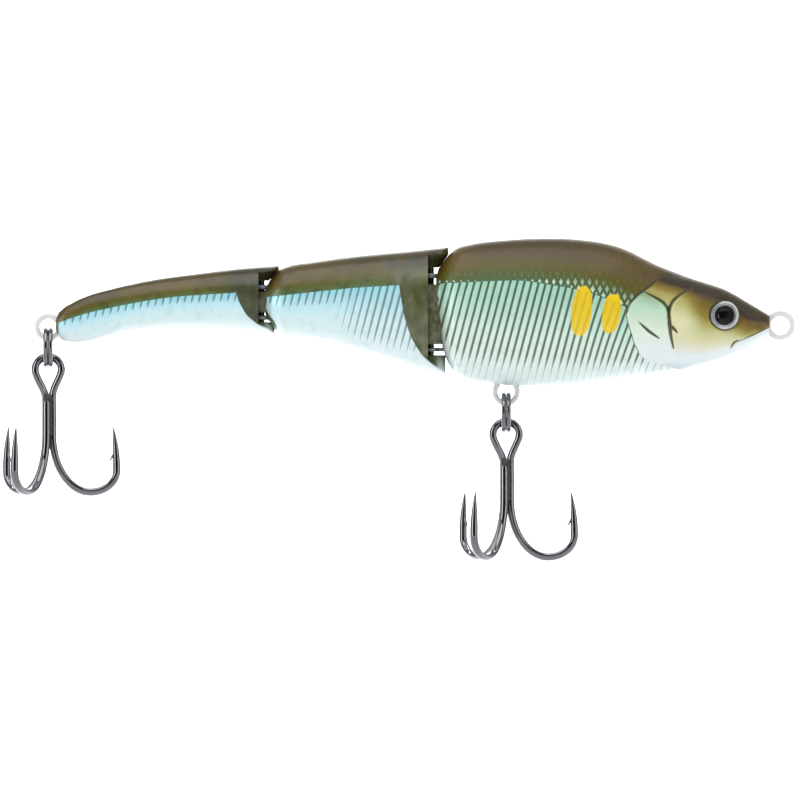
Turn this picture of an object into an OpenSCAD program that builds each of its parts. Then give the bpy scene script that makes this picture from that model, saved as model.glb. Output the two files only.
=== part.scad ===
// Jointed swimbait: three hollow body segments on two vertical pins, with a split ring
// and a treble hook under the belly and at the tail.
// The nose points along +X, +Z is up, and the origin is the centre of the line tie's hole.
// Body outlines are given as distances behind the line tie, so a station s lies at X = -s.

/* [Body] */
// Thickness of the moulded shell walls
wall = 1.3; // [1:0.1:1.6]
// Height of the widest line of a section, as a share of the section's height
waist = 0.52; // [0.45:0.01:0.6]
// Roundness of a section: 2 is an ellipse, more is squarer
squareness = 2.2; // [2:0.1:2.6]
// Thickness of the reflective foil skins
foil_t = 0.16; // [0.1:0.02:0.2]

/* [Joints] */
// Distance of the front joint pin behind the line tie
front_pin_s = 61.3; // [61.2:0.05:61.4]
// Distance of the rear joint pin behind the line tie
rear_pin_s = 91.05; // [91:0.05:91.1]
// Radius of the joint pins
pin_r = 0.55; // [0.45:0.05:0.6]
// Running clearance between a pin and the eyelets that turn on it
pin_play = 0.07; // [0.03:0.01:0.1]
// Gap between a knuckle and its cup
cup_gap = 0.35; // [0.3:0.05:0.45]

/* [Hangers] */
// Hole radius of the line tie
tie_hole_r = 1.55; // [1.4:0.05:1.6]
// Outer radius of the line tie
tie_r = 2.68; // [2.5:0.02:2.8]
// Hole radius of the belly and tail hangers
hanger_hole_r = 1.48; // [1.4:0.02:1.55]
// Outer radius of the belly and tail hangers
hanger_r = 2.48; // [2.4:0.02:2.6]
// Thickness of the line tie and the hangers
hanger_t = 1.1; // [0.9:0.1:1.2]

/* [Hooks] */
// Radius of the hook wire
hook_r = 0.65; // [0.5:0.05:0.7]
// Turn of each treble about its shank
treble_turn = 4.6; // [0:0.2:10]
// Outer diameter of the split rings
ring_d = 7.15; // [7:0.05:7.3]

/* [Hidden] */
$fn = 48;
LEFT = 1;
RIGHT = -1;
BIG = 40;

// ---- Outlines, each point [distance behind the line tie, height or half width] ----
head_back = [[1.9, 1.8], [4.7, 3.5], [9.2, 6.1], [14.8, 8], [21.5, 10.6], [28.3, 13.8],
  [35.4, 15.1], [41, 15.3], [48, 15], [54.4, 14.2], [56.6, 13.6], [58, 12.6], [59, 11.4],
  [59.7, 10.4], [60.2, 9.2], [60.4, 8]];
head_belly = [[1.9, -1.8], [5.5, -3.9], [9.3, -5.4], [13.2, -6.6], [20.8, -8.1], [31.6, -9.7],
  [39.9, -10.5], [46, -10.6], [51.1, -10.1], [54.4, -9.6], [56.2, -9], [57.5, -7.8],
  [58.6, -5.9], [59.2, -4.2], [59.8, -1.5], [60.2, 0.6], [60.4, 2]];
head_width = [[1.9, 2.2], [4, 3.3], [8, 4.5], [14, 5.6], [22, 6.6], [32, 7.3], [42, 7.4],
  [50, 7], [55.8, 6.5], [57.4, 6.2], [58.4, 5.75], [59.1, 5.1], [59.55, 4.45], [60, 4.2],
  [60.4, 4]];
middle_back = [[58.3, 13.75], [65.5, 13], [71.1, 12.5], [76.7, 11.9], [82.3, 11.1],
  [86.2, 10.45], [87.9, 9.75], [89.1, 8.6], [89.9, 7.4], [90.4, 6.4], [90.65, 5.4]];
middle_belly = [[58.3, -8.7], [61.8, -7.9], [65.5, -6.8], [71.1, -5.15], [76.7, -3.6],
  [80.6, -2.6], [83.9, -2.05], [87.3, -1.6], [88.3, -1.1], [89.2, -0.2], [90, 1.2],
  [90.5, 2.6], [90.65, 3.6]];
middle_width = [[58.3, 6.5], [62, 6.35], [70, 5.95], [80, 5.3], [86, 4.8], [87.85, 4.5],
  [88.85, 4.1], [89.4, 3.75], [89.75, 3.3], [90.2, 3], [90.65, 2.8]];
tail_back = [[88.1, 10.5], [94.8, 10], [101.9, 9.15], [110.1, 8], [117.4, 6.4],
  [121.6, 5.2], [124.4, 3.9], [126.1, 2.8], [126.9, 1.8], [127.2, 0.9]];
tail_belly = [[88.1, -1.5], [93.1, -0.9], [97.8, -0.5], [104.8, -0.2], [110.4, -0.4],
  [114.6, -0.8], [117.4, -1.5], [121.6, -2.65], [124.4, -2.8], [125.8, -2.5],
  [126.8, -1.7], [127.2, -0.8]];
tail_width = [[88.1, 4.7], [91, 4.5], [100, 3.9], [110, 3.1], [118, 2.3], [123, 1.8],
  [126, 1.4], [127.2, 0.9]];
HEAD = [head_back, head_belly, head_width];
MIDDLE = [middle_back, middle_belly, middle_width];
TAIL = [tail_back, tail_belly, tail_width];

// ---- Smooth curve through outline points ----
function rise(p, i) = (p[i + 1].y - p[i].y) / (p[i + 1].x - p[i].x);
function slope(p, i) =
  i == 0 ? rise(p, 0) :
  i == len(p) - 1 ? rise(p, i - 1) :
  let (before = p[i].x - p[i - 1].x, after = p[i + 1].x - p[i].x)
    (after * rise(p, i - 1) + before * rise(p, i)) / (before + after);
function span_at(p, s, i = 0) = i >= len(p) - 2 || s <= p[i + 1].x ? i : span_at(p, s, i + 1);
function curve(p, s) =
  let (i = span_at(p, s), w = p[i + 1].x - p[i].x, t = (s - p[i].x) / w, t2 = t * t, t3 = t2 * t)
    (2 * t3 - 3 * t2 + 1) * p[i].y + (t3 - 2 * t2 + t) * w * slope(p, i)
      + (3 * t2 - 2 * t3) * p[i + 1].y + (t3 - t2) * w * slope(p, i + 1);

// ---- Body surface: station s, angle a from the back (0) to the belly (180), d outwards ----
function powered(v) = sign(v) * pow(abs(v), 2 / squareness);
function skin(shape, s, a, d = 0) =
  let (
    top = curve(shape[0], s), bottom = curve(shape[1], s), half = curve(shape[2], s),
    mid = bottom + waist * (top - bottom), h = a < 90 ? top - mid : mid - bottom,
    y = half * powered(sin(a)), z = h * powered(cos(a)),
    n = [sin(a) / half, cos(a) / h], unit = n / norm(n)
  ) [-s, y + d * unit.x, mid + z + d * unit.y];
// Angle at which the surface of a station reaches a height
function angle_at(shape, s, z) =
  let (
    top = curve(shape[0], s), bottom = curve(shape[1], s), mid = bottom + waist * (top - bottom),
    v = max(-1, min(1, z > mid ? (z - mid) / (top - mid) : (z - mid) / (mid - bottom)))
  ) acos(sign(v) * pow(abs(v), squareness / 2));
// Stations from a to b, closer together at both ends
function stations(a, b, n) = [for (k = [0:n]) a + (b - a) * (1 - cos(180 * k / n)) / 2];

// Faces of a closed tube of rings, each ring a list of k points
function quad(a, b, c, d) = [[a, b, c], [a, c, d]];
function tube_faces(rings, k) = concat(
  [for (i = [0:rings - 2], j = [0:k - 1], f = quad(i * k + j, i * k + (j + 1) % k,
    (i + 1) * k + (j + 1) % k, (i + 1) * k + j)) f],
  [[for (j = [k - 1:-1:0]) j]],
  [[for (j = [0:k - 1]) (rings - 1) * k + j]]
);
module tube(rings) {
  k = len(rings[0]);
  polyhedron(points = [for (ring = rings, p = ring) p], faces = tube_faces(len(rings), k));
}

// One half of a body segment, from the seam plane outwards, shrunk by inset
module half_body(shape, from, to, n, steps, inset = 0, past = 0) {
  tube([for (s = stations(from, to, n))
    [for (j = [steps:-1:0]) let (p = skin(shape, s, 180 * j / steps, -inset))
      [p.x, j == 0 || j == steps ? -past : p.y, p.z]]]);
}

// ---- Joint solids, all turned about a joint pin ----
module at_pin(s) translate([-s, 0, 0]) children();
module half_turn(profile) rotate_extrude(angle = 180) polygon(profile);
module full_turn(profile) rotate_extrude() polygon(profile);
module ring_space(r, low, high) translate([0, 0, low]) cylinder(r = r, h = high - low);

front_knuckle = [[0.75, -3.3], [3.1, -3.3], [3.9, -1.2], [4.3, 1], [4.3, 7.2], [0.75, 7.2]];
front_cup = [[0, -3.3 - cup_gap], [3.1 + cup_gap, -3.3 - cup_gap], [3.9 + cup_gap, -1.2],
  [4.3 + cup_gap, 1], [4.3 + cup_gap, 7.2 + cup_gap], [0, 7.2 + cup_gap]];
rear_knuckle = [[0.75, 2.3], [2.4, 2.3], [3, 3.4], [3, 5.9], [0.75, 5.9]];
rear_cup = [[0, 2.3 - cup_gap], [2.4 + cup_gap, 2.3 - cup_gap], [3 + cup_gap, 3.4],
  [3 + cup_gap, 5.9 + cup_gap], [0, 5.9 + cup_gap]];
eyelet_r = 1.6;
eyelet_room = 2.1;
// Lips that hold a pin: [radius, height] of the upper cone's foot, its shoulder, and the lower disc
front_lips = [[1.25, 10.2], [3, 12.6], [2.45, -5.35]];
rear_lips = [[1.1, 7.9], [2.95, 9.7], [2.15, 0.45]];
// Eyelet heights: [middle height, thickness]
front_upper = [8.7, 0.9];
front_lower = [-4.25, 0.7];
rear_upper = [6.7, 0.8];
rear_lower = [1.35, 0.8];
wall_behind_pin = 0.6;

// Space that a segment's lips turn in, cut out of the segment ahead
module lip_room(lips, gap) {
  full_turn([[0, lips[0].y - gap], [lips[0].x + gap, lips[0].y - gap],
    [lips[1].x + gap, lips[1].y - gap], [lips[1].x + gap, BIG], [0, BIG]]);
  full_turn([[0, -BIG], [lips[2].x + gap, -BIG], [lips[2].x + gap, lips[2].y + gap],
    [0, lips[2].y + gap]]);
}
// Everything ahead of a segment's side walls except its two lips
module front_cut(lips) difference() {
  translate([-wall_behind_pin, -BIG / 2, -BIG]) cube([BIG, BIG, 2 * BIG]);
  lip_room(lips, 0);
}
// A stamped eyelet: a flat ring on the pin with a shank that the segment ahead holds
module eyelet_blank(height, reach) {
  translate([0, 0, height[0] - height[1] / 2]) {
    cylinder(r = eyelet_r, h = height[1]);
    translate([0, -eyelet_r / 2, 0]) cube([reach, eyelet_r, height[1]]);
  }
}
module eyelet(s, height, reach) color("lightgray") at_pin(s) difference() {
  eyelet_blank(height, reach);
  ring_space(pin_r + pin_play, height[0] - height[1], height[0] + height[1]);
}
front_reach = 8;
rear_reach = 7;

// ---- Hangers: a ring with its hole along Y and a shank that the body holds ----
belly_s = 48.1;
belly_z = -11.7;
tail_s = 128.5;
tail_z = -0.3;
edge = 0.2;
shank_w = 1.6;
module hanger_blank(r, shank, turn) {
  rotate([90, 0, 0]) translate([0, 0, -hanger_t / 2]) rotate_extrude()
    polygon([[0, 0], [r - edge, 0], [r, edge], [r, hanger_t - edge], [r - edge, hanger_t],
      [0, hanger_t]]);
  rotate([0, turn, 0]) translate([0, -hanger_t / 2, -shank_w / 2])
    cube([shank, hanger_t, shank_w]);
}
module hanger(r, hole_r, shank, turn) color("lightgray") difference() {
  hanger_blank(r, shank, turn);
  rotate([90, 0, 0]) translate([0, 0, -hanger_t]) cylinder(r = hole_r, h = 2 * hanger_t);
}
module at_belly() translate([-belly_s, 0, belly_z]) children();
module at_tail() translate([-tail_s, 0, tail_z]) children();

// ---- Eyes ----
eye_s = 9.85;
eye_z = 1.8;
eye_y = 4.75;
eye_r = 2.5;
eye_yaw = 10;
eye_roll = 9;
iris_t = 0.5;
seat_depth = 0.85;
dome_h = 1.1;
// Local +Z points out of the head on the left side
module at_eye() translate([-eye_s, eye_y, eye_z]) rotate([-90 + eye_roll, 0, eye_yaw]) children();
module eye_seat() at_eye() translate([0, 0, -seat_depth]) cylinder(r = eye_r, h = 5);
module eye() color("black") at_eye() translate([0, 0, -seat_depth]) cylinder(r = eye_r, h = iris_t);
dome_sphere = (eye_r * eye_r + dome_h * dome_h) / (2 * dome_h);
module eye_dome() color("white") at_eye() translate([0, 0, iris_t - seat_depth]) intersection() {
  translate([0, 0, dome_h - dome_sphere]) sphere(r = dome_sphere);
  cylinder(r = eye_r, h = dome_h + 1);
}

// ---- Ballast slugs along X, their ends seated in the walls around each chamber ----
// [station of the front end, length, radius, height]
head_slug = [27, 16, 2.2, -6];
middle_slug = [70.5, 10, 1.5, 0];
tail_slug = [97, 10, 1.2, 2.4];
module slug(b) color("dimgray") translate([-b[0] - b[1], 0, b[3]]) rotate([0, 90, 0])
  cylinder(r = b[2], h = b[1]);

// ---- Body segments; each half lies on +Y and is mirrored for the right side ----
module sided(side) mirror([0, side == LEFT ? 0 : 1, 0]) children();
// Small overlap that keeps two cuts from ending in one plane
step = 0.05;
module chamber(shape, from, to) half_body(shape, from, to, 5, 6, wall, 1);

module head_half() color([0.42, 0.37, 0.26]) difference() {
  union() {
    half_body(HEAD, 1.9, 60.4, 24, 10);
    at_pin(front_pin_s) half_turn(front_knuckle);
  }
  chamber(HEAD, 14, 26);
  chamber(HEAD, 28, 42);
  slug(head_slug);
  eye_seat();
  at_pin(front_pin_s) {
    lip_room(front_lips, 0.25);
    eyelet_blank(front_upper, front_reach);
    eyelet_blank(front_lower, front_reach);
  }
  hanger_blank(tie_r, 9, 180);
  at_belly() hanger_blank(hanger_r, 7.5, -90);
}
module middle_half() color([0.4, 0.42, 0.3]) difference() {
  union() {
    difference() {
      half_body(MIDDLE, 58.2, 90.65, 16, 10);
      at_pin(front_pin_s) front_cut(front_lips);
      at_pin(front_pin_s) full_turn(front_cup);
    }
    at_pin(rear_pin_s) half_turn(rear_knuckle);
  }
  chamber(MIDDLE, 71.5, 79.5);
  slug(middle_slug);
  at_pin(front_pin_s) {
    ring_space(pin_r, -7, 13);
    ring_space(eyelet_room, front_lips[2].y + step, 0);
    ring_space(eyelet_room, 5, front_lips[0].y - step);
  }
  at_pin(rear_pin_s) {
    lip_room(rear_lips, 0.25);
    eyelet_blank(rear_upper, rear_reach);
    eyelet_blank(rear_lower, rear_reach);
    ring_space(0.8, 0, 9);
  }
}
module tail_half() color([0.4, 0.42, 0.3]) difference() {
  half_body(TAIL, 87.9, 127.2, 18, 10);
  at_pin(rear_pin_s) front_cut(rear_lips);
  at_pin(rear_pin_s) full_turn(rear_cup);
  chamber(TAIL, 98, 106);
  slug(tail_slug);
  at_pin(rear_pin_s) {
    ring_space(pin_r, -0.9, 9.9);
    ring_space(eyelet_room, rear_lips[2].y + step, 3);
    ring_space(eyelet_room, 5, rear_lips[0].y - step);
  }
  at_tail() hanger_blank(hanger_r, 9, 0);
}
module joint_pin(s, low, high) color("silver") at_pin(s) ring_space(pin_r, low, high);

// ---- Foil skins: a thin sheet over the flank between four edges ----
foil_gap = 0.13;
// front and rear give each row's end stations, top gives the height of the upper edge
module foil(shape, top, belly_angle, front, rear, n, rows) {
  inner = [for (u = [0:rows]) [for (k = [0:n])
    let (f = front(u / rows), s = f + (rear(u / rows) - f) * (1 - cos(180 * k / n)) / 2,
      a0 = angle_at(shape, s, curve(top, s)), a = a0 + (belly_angle - a0) * u / rows)
    skin(shape, s, a, foil_gap)]];
  outer = [for (u = [0:rows]) [for (k = [0:n])
    let (f = front(u / rows), s = f + (rear(u / rows) - f) * (1 - cos(180 * k / n)) / 2,
      a0 = angle_at(shape, s, curve(top, s)), a = a0 + (belly_angle - a0) * u / rows)
    skin(shape, s, a, foil_gap + foil_t)]];
  // Each row is a closed strip: along the outside and back along the inside
  rings = [for (u = [0:rows])
    concat(outer[u], [for (k = [n:-1:0]) inner[u][k]])];
  k = 2 * (n + 1);
  strip_caps = concat(
    [for (j = [0:n - 1], f = quad(j + 1, j, k - 1 - j, k - 2 - j)) f],
    [for (j = [0:n - 1], f = quad(j, j + 1, k - 2 - j, k - 1 - j)) f + rows * k * [1, 1, 1]]
  );
  sides = [for (i = [0:rows - 1], j = [0:k - 1], f = quad(i * k + j, i * k + (j + 1) % k,
    (i + 1) * k + (j + 1) % k, (i + 1) * k + j)) f];
  polyhedron(points = [for (ring = rings, p = ring) p], faces = concat(sides, strip_caps));
}
head_foil_top = [[21, 6], [31.6, 5.3], [37.6, 6.6], [42.1, 7.2], [45.4, 7.7], [60.3, 7.4]];
middle_foil_top = [[58, 7.2], [73.9, 6.6], [90.6, 4.9]];
tail_foil_top = [[88, 6], [95.8, 5.7], [106.2, 5], [117.4, 3.1], [126, 1]];
head_foil_front = function (u) 24.4 + 2.4 * sin(150 * u + 10);
head_foil_rear = function (u) 59.3 - 2.2 * u * u;
middle_foil_front = function (u) 66.8 - 5.6 * pow(u, 3);
middle_foil_rear = function (u) 89.4 - 2.2 * u * u;
tail_foil_front = function (u) 95.6 - 4 * u * u;
tail_foil_rear = function (u) 124.8;
module head_foil() color([0.8, 0.9, 0.87])
  foil(HEAD, head_foil_top, 165, head_foil_front, head_foil_rear, 14, 8);
module middle_foil() color([0.77, 0.9, 0.95])
  foil(MIDDLE, middle_foil_top, 165, middle_foil_front, middle_foil_rear, 10, 7);
module tail_foil() color([0.77, 0.9, 0.95])
  foil(TAIL, tail_foil_top, 160, tail_foil_front, tail_foil_rear, 12, 6);

// ---- Split ring: two flat coils side by side, joined by one short crossing ----
coil_w = 0.78;
coil_h = 0.8;
coil_step = 0.82;
ring_start = 35;
crossing = 30;
module split_ring() color([0.2, 0.2, 0.21]) {
  mean_r = (ring_d - coil_h) / 2;
  n = 52;
  tube([for (i = [0:n])
    let (
      a = ring_start + (720 - 2 * ring_start) * i / n,
      t = max(0, min(1, (a - 360 + crossing) / (2 * crossing))),
      x = coil_step * (t * t * (3 - 2 * t) - 0.5), w = coil_w / 2, h = coil_h / 2, c = 0.2
    ) [for (q = [[w, c - h], [w - c, -h], [c - w, -h], [-w, c - h], [-w, h - c], [c - w, h],
      [w - c, h], [w, h - c]]) [x + q.x, (mean_r + q.y) * cos(a), (mean_r + q.y) * sin(a)]]]);
}

// ---- Treble hook, its local origin where its eye turns on the split ring ----
shank_off = hook_r / sin(60) + 0.005;
eye_top = 0.95 + hook_r; // middle of the wire at the top of the eye

eye_arc_r = 2.3;
bend_from = -12.9;
bend_low = -22.2;
bend_rho = 7.4;
point_rho = 12.05;
point_foot = -18.5;
tip = [11.35, -10.9];
// Half profile of one hook: [radial distance, height, wire radius]
function hook_line(reach) = concat(
  [for (a = [0:12:90]) [shank_off + (bend_rho - shank_off) * reach * (1 - cos(a)),
    bend_from + (bend_low - bend_from) * sin(a), hook_r]],
  [for (a = [15:15:90]) [reach * (bend_rho + (point_rho - bend_rho) * sin(a)),
    point_foot + (bend_low - point_foot) * cos(a), hook_r]],
  [for (t = [0.25:0.25:1]) [reach * point_rho + (tip.x - point_rho) * t * t,
    point_foot + (tip.y - point_foot) * t, max(0.06, hook_r * (1 - pow(t, 2.2)))]]
);
// A wire is a list of points [x, y, z, radius], swept without twist
wire_sides = 10;
function place(p) = [p[0], p[1], p[2]];
function unit(v) = v / norm(v);
function heading(w, i) = unit(place(w[min(len(w) - 1, i + 1)]) - place(w[max(0, i - 1)]));
function square_to(t, n) = unit(n - (n * t) * t);
module wire(w, first_normal) {
  normals = [for (i = 0, n = square_to(heading(w, 0), first_normal); i < len(w);
    i = i + 1, n = i < len(w) ? square_to(heading(w, i), n) : n) n];
  tube([for (i = [0:len(w) - 1]) let (n = normals[i], b = cross(heading(w, i), n))
    [for (k = [wire_sides - 1:-1:0]) let (a = 360 * k / wire_sides)
      place(w[i]) + w[i][3] * (cos(a) * n + sin(a) * b)]]);
}
function reversed(w) = [for (i = [len(w) - 1:-1:0]) w[i]];
// Wire points of one hook at azimuth phi, from the top of its bend to its point
function hook_wire(phi, reach) =
  [for (q = hook_line(reach)) [q[0] * cos(phi), q[0] * sin(phi), q[1], q[2]]];
// A small cut raised on the inside of the point, its own tip looking down
module barb(phi, reach) rotate([0, 0, phi]) translate([(reach - 1) * point_rho, 0, 0]) {
  w = 0.22;
  polyhedron(points = [[11.6, -w, -15.2], [11.6, w, -15.2], [11.6, -w, -16.4], [11.6, w, -16.4],
    [10.65, 0, -16.9]], faces = [[0, 1, 3, 2], [0, 4, 1], [1, 4, 3], [3, 4, 2], [2, 4, 0]]);
}
front_phi = treble_turn;
far_phi = treble_turn + 120;
near_phi = treble_turn - 120;
rear_reach_share = 1.1;
module treble_single() color([0.2, 0.2, 0.21]) {
  phi = near_phi;
  wire(concat([for (z = [-6.4:-2.1:-11]) [shank_off * cos(phi), shank_off * sin(phi), z, hook_r]],
    hook_wire(phi, rear_reach_share)), [-sin(phi), cos(phi), 0]);
  barb(phi, rear_reach_share);
}
// The double hook's wire: the far hook, up its shank, round the eye, down to the front hook
module treble_double() color([0.2, 0.2, 0.21]) {
  arc_z = eye_top - eye_arc_r;
  a = [shank_off * cos(far_phi), shank_off * sin(far_phi)];
  b = [shank_off * cos(front_phi), shank_off * sin(front_phi)];
  loop = concat(
    [[a.x, a.y, -9], [a.x, a.y, -6.2], [a.x - 0.08, a.y - 0.1, -5.3], [-0.95, 0.25, -4.05],
      [-1.62, 0.06, -2.75]],
    [for (t = [200:-20:-20]) [eye_arc_r * cos(t), 0, arc_z + eye_arc_r * sin(t)]],
    [[1.62, 0, -2.75], [1.05, 0.02, -4.05], [b.x, b.y, -5.4], [b.x, b.y, -9]]
  );
  wire(concat(reversed(hook_wire(far_phi, rear_reach_share)),
    [for (p = loop) [p.x, p.y, p.z, hook_r]], hook_wire(front_phi, 1)),
    [-sin(far_phi), cos(far_phi), 0]);
  barb(far_phi, rear_reach_share);
  barb(front_phi, 1);
}
hook_drop = 3.175;
ring_z = -15.3;
tail_ring_z = tail_z + ring_z - belly_z;
module belly_hook_place() translate([-belly_s, 0, ring_z - hook_drop]) children();
module tail_hook_place() translate([-tail_s, 0, tail_ring_z - hook_drop]) children();

sided(LEFT) head_half();  // head_shell_left
sided(RIGHT) head_half();  // head_shell_right
sided(LEFT) head_foil();  // head_foil_left
sided(RIGHT) head_foil();  // head_foil_right
sided(LEFT) eye();  // eye_left
sided(RIGHT) eye();  // eye_right
sided(LEFT) eye_dome();  // eye_dome_left
sided(RIGHT) eye_dome();  // eye_dome_right
hanger(tie_r, tie_hole_r, 9, 180);  // line_tie
at_belly() hanger(hanger_r, hanger_hole_r, 7.5, -90);  // belly_hanger
slug(head_slug);  // head_ballast
eyelet(front_pin_s, front_upper, front_reach);  // head_eyelet_upper
eyelet(front_pin_s, front_lower, front_reach);  // head_eyelet_lower
sided(LEFT) middle_half();  // middle_shell_left
sided(RIGHT) middle_half();  // middle_shell_right
sided(LEFT) middle_foil();  // middle_foil_left
sided(RIGHT) middle_foil();  // middle_foil_right
joint_pin(front_pin_s, -7, 13);  // front_joint_pin
eyelet(rear_pin_s, rear_upper, rear_reach);  // middle_eyelet_upper
eyelet(rear_pin_s, rear_lower, rear_reach);  // middle_eyelet_lower
slug(middle_slug);  // middle_ballast
sided(LEFT) tail_half();  // tail_shell_left
sided(RIGHT) tail_half();  // tail_shell_right
sided(LEFT) tail_foil();  // tail_foil_left
sided(RIGHT) tail_foil();  // tail_foil_right
joint_pin(rear_pin_s, -0.9, 9.9);  // rear_joint_pin
at_tail() hanger(hanger_r, hanger_hole_r, 9, 0);  // tail_hanger
slug(tail_slug);  // tail_ballast
translate([-belly_s, 0, ring_z]) split_ring();  // belly_split_ring
belly_hook_place() treble_double();  // belly_treble_double
belly_hook_place() treble_single();  // belly_treble_single
translate([-tail_s, 0, tail_ring_z]) split_ring();  // tail_split_ring
tail_hook_place() treble_double();  // tail_treble_double
tail_hook_place() treble_single();  // tail_treble_single
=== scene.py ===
"""Looks for the jointed swimbait: smooth moulded halves, ribbed foil, eyes, wire hooks and
rings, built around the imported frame. Lengths are millimetres until a mesh is made."""

import math

import bmesh
import bpy
import numpy as np
from mathutils import Matrix, Vector


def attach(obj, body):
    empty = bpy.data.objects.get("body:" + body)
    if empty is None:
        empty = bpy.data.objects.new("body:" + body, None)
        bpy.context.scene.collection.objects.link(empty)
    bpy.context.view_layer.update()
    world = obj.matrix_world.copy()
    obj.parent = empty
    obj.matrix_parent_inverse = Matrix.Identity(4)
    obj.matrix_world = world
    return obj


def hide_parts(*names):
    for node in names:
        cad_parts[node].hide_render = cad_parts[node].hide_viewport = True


MM = 0.001
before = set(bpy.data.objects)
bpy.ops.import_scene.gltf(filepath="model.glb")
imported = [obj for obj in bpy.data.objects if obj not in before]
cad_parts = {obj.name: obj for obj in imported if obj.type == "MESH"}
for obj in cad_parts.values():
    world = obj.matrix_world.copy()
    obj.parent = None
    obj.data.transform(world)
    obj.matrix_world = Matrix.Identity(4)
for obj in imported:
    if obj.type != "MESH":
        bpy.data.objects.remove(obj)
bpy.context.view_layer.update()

# ---- The body's outlines, as in the frame: [distance behind the line tie, height or half width]
HEAD_BACK = [(1.9, 1.8), (4.7, 3.5), (9.2, 6.1), (14.8, 8), (21.5, 10.6), (28.3, 13.8),
             (35.4, 15.1), (41, 15.3), (48, 15), (54.4, 14.2), (56.6, 13.6), (58, 12.6),
             (59, 11.4), (59.7, 10.4), (60.2, 9.2), (60.4, 8)]
HEAD_BELLY = [(1.9, -1.8), (5.5, -3.9), (9.3, -5.4), (13.2, -6.6), (20.8, -8.1), (31.6, -9.7),
              (39.9, -10.5), (46, -10.6), (51.1, -10.1), (54.4, -9.6), (56.2, -9), (57.5, -7.8),
              (58.6, -5.9), (59.2, -4.2), (59.8, -1.5), (60.2, 0.6), (60.4, 2)]
HEAD_WIDTH = [(1.9, 2.2), (4, 3.3), (8, 4.5), (14, 5.6), (22, 6.6), (32, 7.3), (42, 7.4),
              (50, 7), (55.8, 6.5), (57.4, 6.2), (58.4, 5.75), (59.1, 5.1), (59.55, 4.45),
              (60, 4.2), (60.4, 4)]
MIDDLE_BACK = [(58.3, 13.75), (65.5, 13), (71.1, 12.5), (76.7, 11.9), (82.3, 11.1),
               (86.2, 10.45), (87.9, 9.75), (89.1, 8.6), (89.9, 7.4), (90.4, 6.4), (90.65, 5.4)]
MIDDLE_BELLY = [(58.3, -8.7), (61.8, -7.9), (65.5, -6.8), (71.1, -5.15), (76.7, -3.6),
                (80.6, -2.6), (83.9, -2.05), (87.3, -1.6), (88.3, -1.1), (89.2, -0.2), (90, 1.2),
                (90.5, 2.6), (90.65, 3.6)]
MIDDLE_WIDTH = [(58.3, 6.5), (62, 6.35), (70, 5.95), (80, 5.3), (86, 4.8), (87.85, 4.5),
                (88.85, 4.1), (89.4, 3.75), (89.75, 3.3), (90.2, 3), (90.65, 2.8)]
TAIL_BACK = [(88.1, 10.5), (94.8, 10), (101.9, 9.15), (110.1, 8), (117.4, 6.4), (121.6, 5.2),
             (124.4, 3.9), (126.1, 2.8), (126.9, 1.8), (127.2, 0.9)]
TAIL_BELLY = [(88.1, -1.5), (93.1, -0.9), (97.8, -0.5), (104.8, -0.2), (110.4, -0.4),
              (114.6, -0.8), (117.4, -1.5), (121.6, -2.65), (124.4, -2.8), (125.8, -2.5),
              (126.8, -1.7), (127.2, -0.8)]
TAIL_WIDTH = [(88.1, 4.7), (91, 4.5), (100, 3.9), (110, 3.1), (118, 2.3), (123, 1.8),
              (126, 1.4), (127.2, 0.9)]
HEAD = (HEAD_BACK, HEAD_BELLY, HEAD_WIDTH)
MIDDLE = (MIDDLE_BACK, MIDDLE_BELLY, MIDDLE_WIDTH)
TAIL = (TAIL_BACK, TAIL_BELLY, TAIL_WIDTH)
HEAD_SPAN = (1.9, 60.4)
MIDDLE_SPAN = (58.2, 90.65)
TAIL_SPAN = (87.9, 127.2)
WAIST = 0.52  # height of the widest line, as a part of the whole height
SQUARENESS = 2.2
WALL = 1.3
HEAD_CHAMBERS = [(14, 26), (28, 42)]
MIDDLE_CHAMBER = (71.5, 79.5)
TAIL_CHAMBER = (98, 106)
HEAD_SLUG = (27, 16, 2.2, -6)  # front, length, radius, height
MIDDLE_SLUG = (70.5, 10, 1.5, 0)
TAIL_SLUG = (97, 10, 1.2, 2.4)
BIG = 40  # reaches past the body every way

FRONT_PIN = 61.3
REAR_PIN = 91.05
PIN_R = 0.55
PIN_SPANS = {FRONT_PIN: (-7.05, 13), REAR_PIN: (-0.9, 9.9)}
CUP_GAP = 0.35
WALL_BEHIND_PIN = 0.53
LIP_GROWTH = 0.13
LIP_CLEARANCE = 0.25
EYELET_R = 1.6
EYELET_HOLE = 0.62
EYELET_ROOM = 2.1
FRONT_KNUCKLE = [(0.75, -3.3), (3.1, -3.3), (3.9, -1.2), (4.3, 1), (4.3, 7.2), (0.75, 7.2)]
REAR_KNUCKLE = [(0.75, 2.3), (2.4, 2.3), (3, 3.4), (3, 5.9), (0.75, 5.9)]
FRONT_LIPS = [(1.25, 10.2), (3, 12.6), (2.45, -5.35)]
REAR_LIPS = [(1.1, 7.9), (2.95, 9.7), (2.15, 0.45)]
EYELETS = {  # name: (station, middle height, thickness, reach ahead of the pin)
    "head_eyelet_upper": (FRONT_PIN, 8.7, 0.9, 8),
    "head_eyelet_lower": (FRONT_PIN, -4.25, 0.7, 8),
    "middle_eyelet_upper": (REAR_PIN, 6.7, 0.8, 7),
    "middle_eyelet_lower": (REAR_PIN, 1.35, 0.8, 7),
}
HANGER_T, SHANK_W = 1.1, 1.6
HANGERS = {  # name: (body, x, z, hole radius, outer radius, turn of the shank, its length)
    "line_tie": ("head", 0, 0, 1.55, 2.68, 180, 9),
    "belly_hanger": ("head", -48.1, -11.7, 1.48, 2.48, -90, 7.5),
    "tail_hanger": ("tail", -128.5, -0.3, 1.48, 2.48, 0, 9),
}
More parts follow.
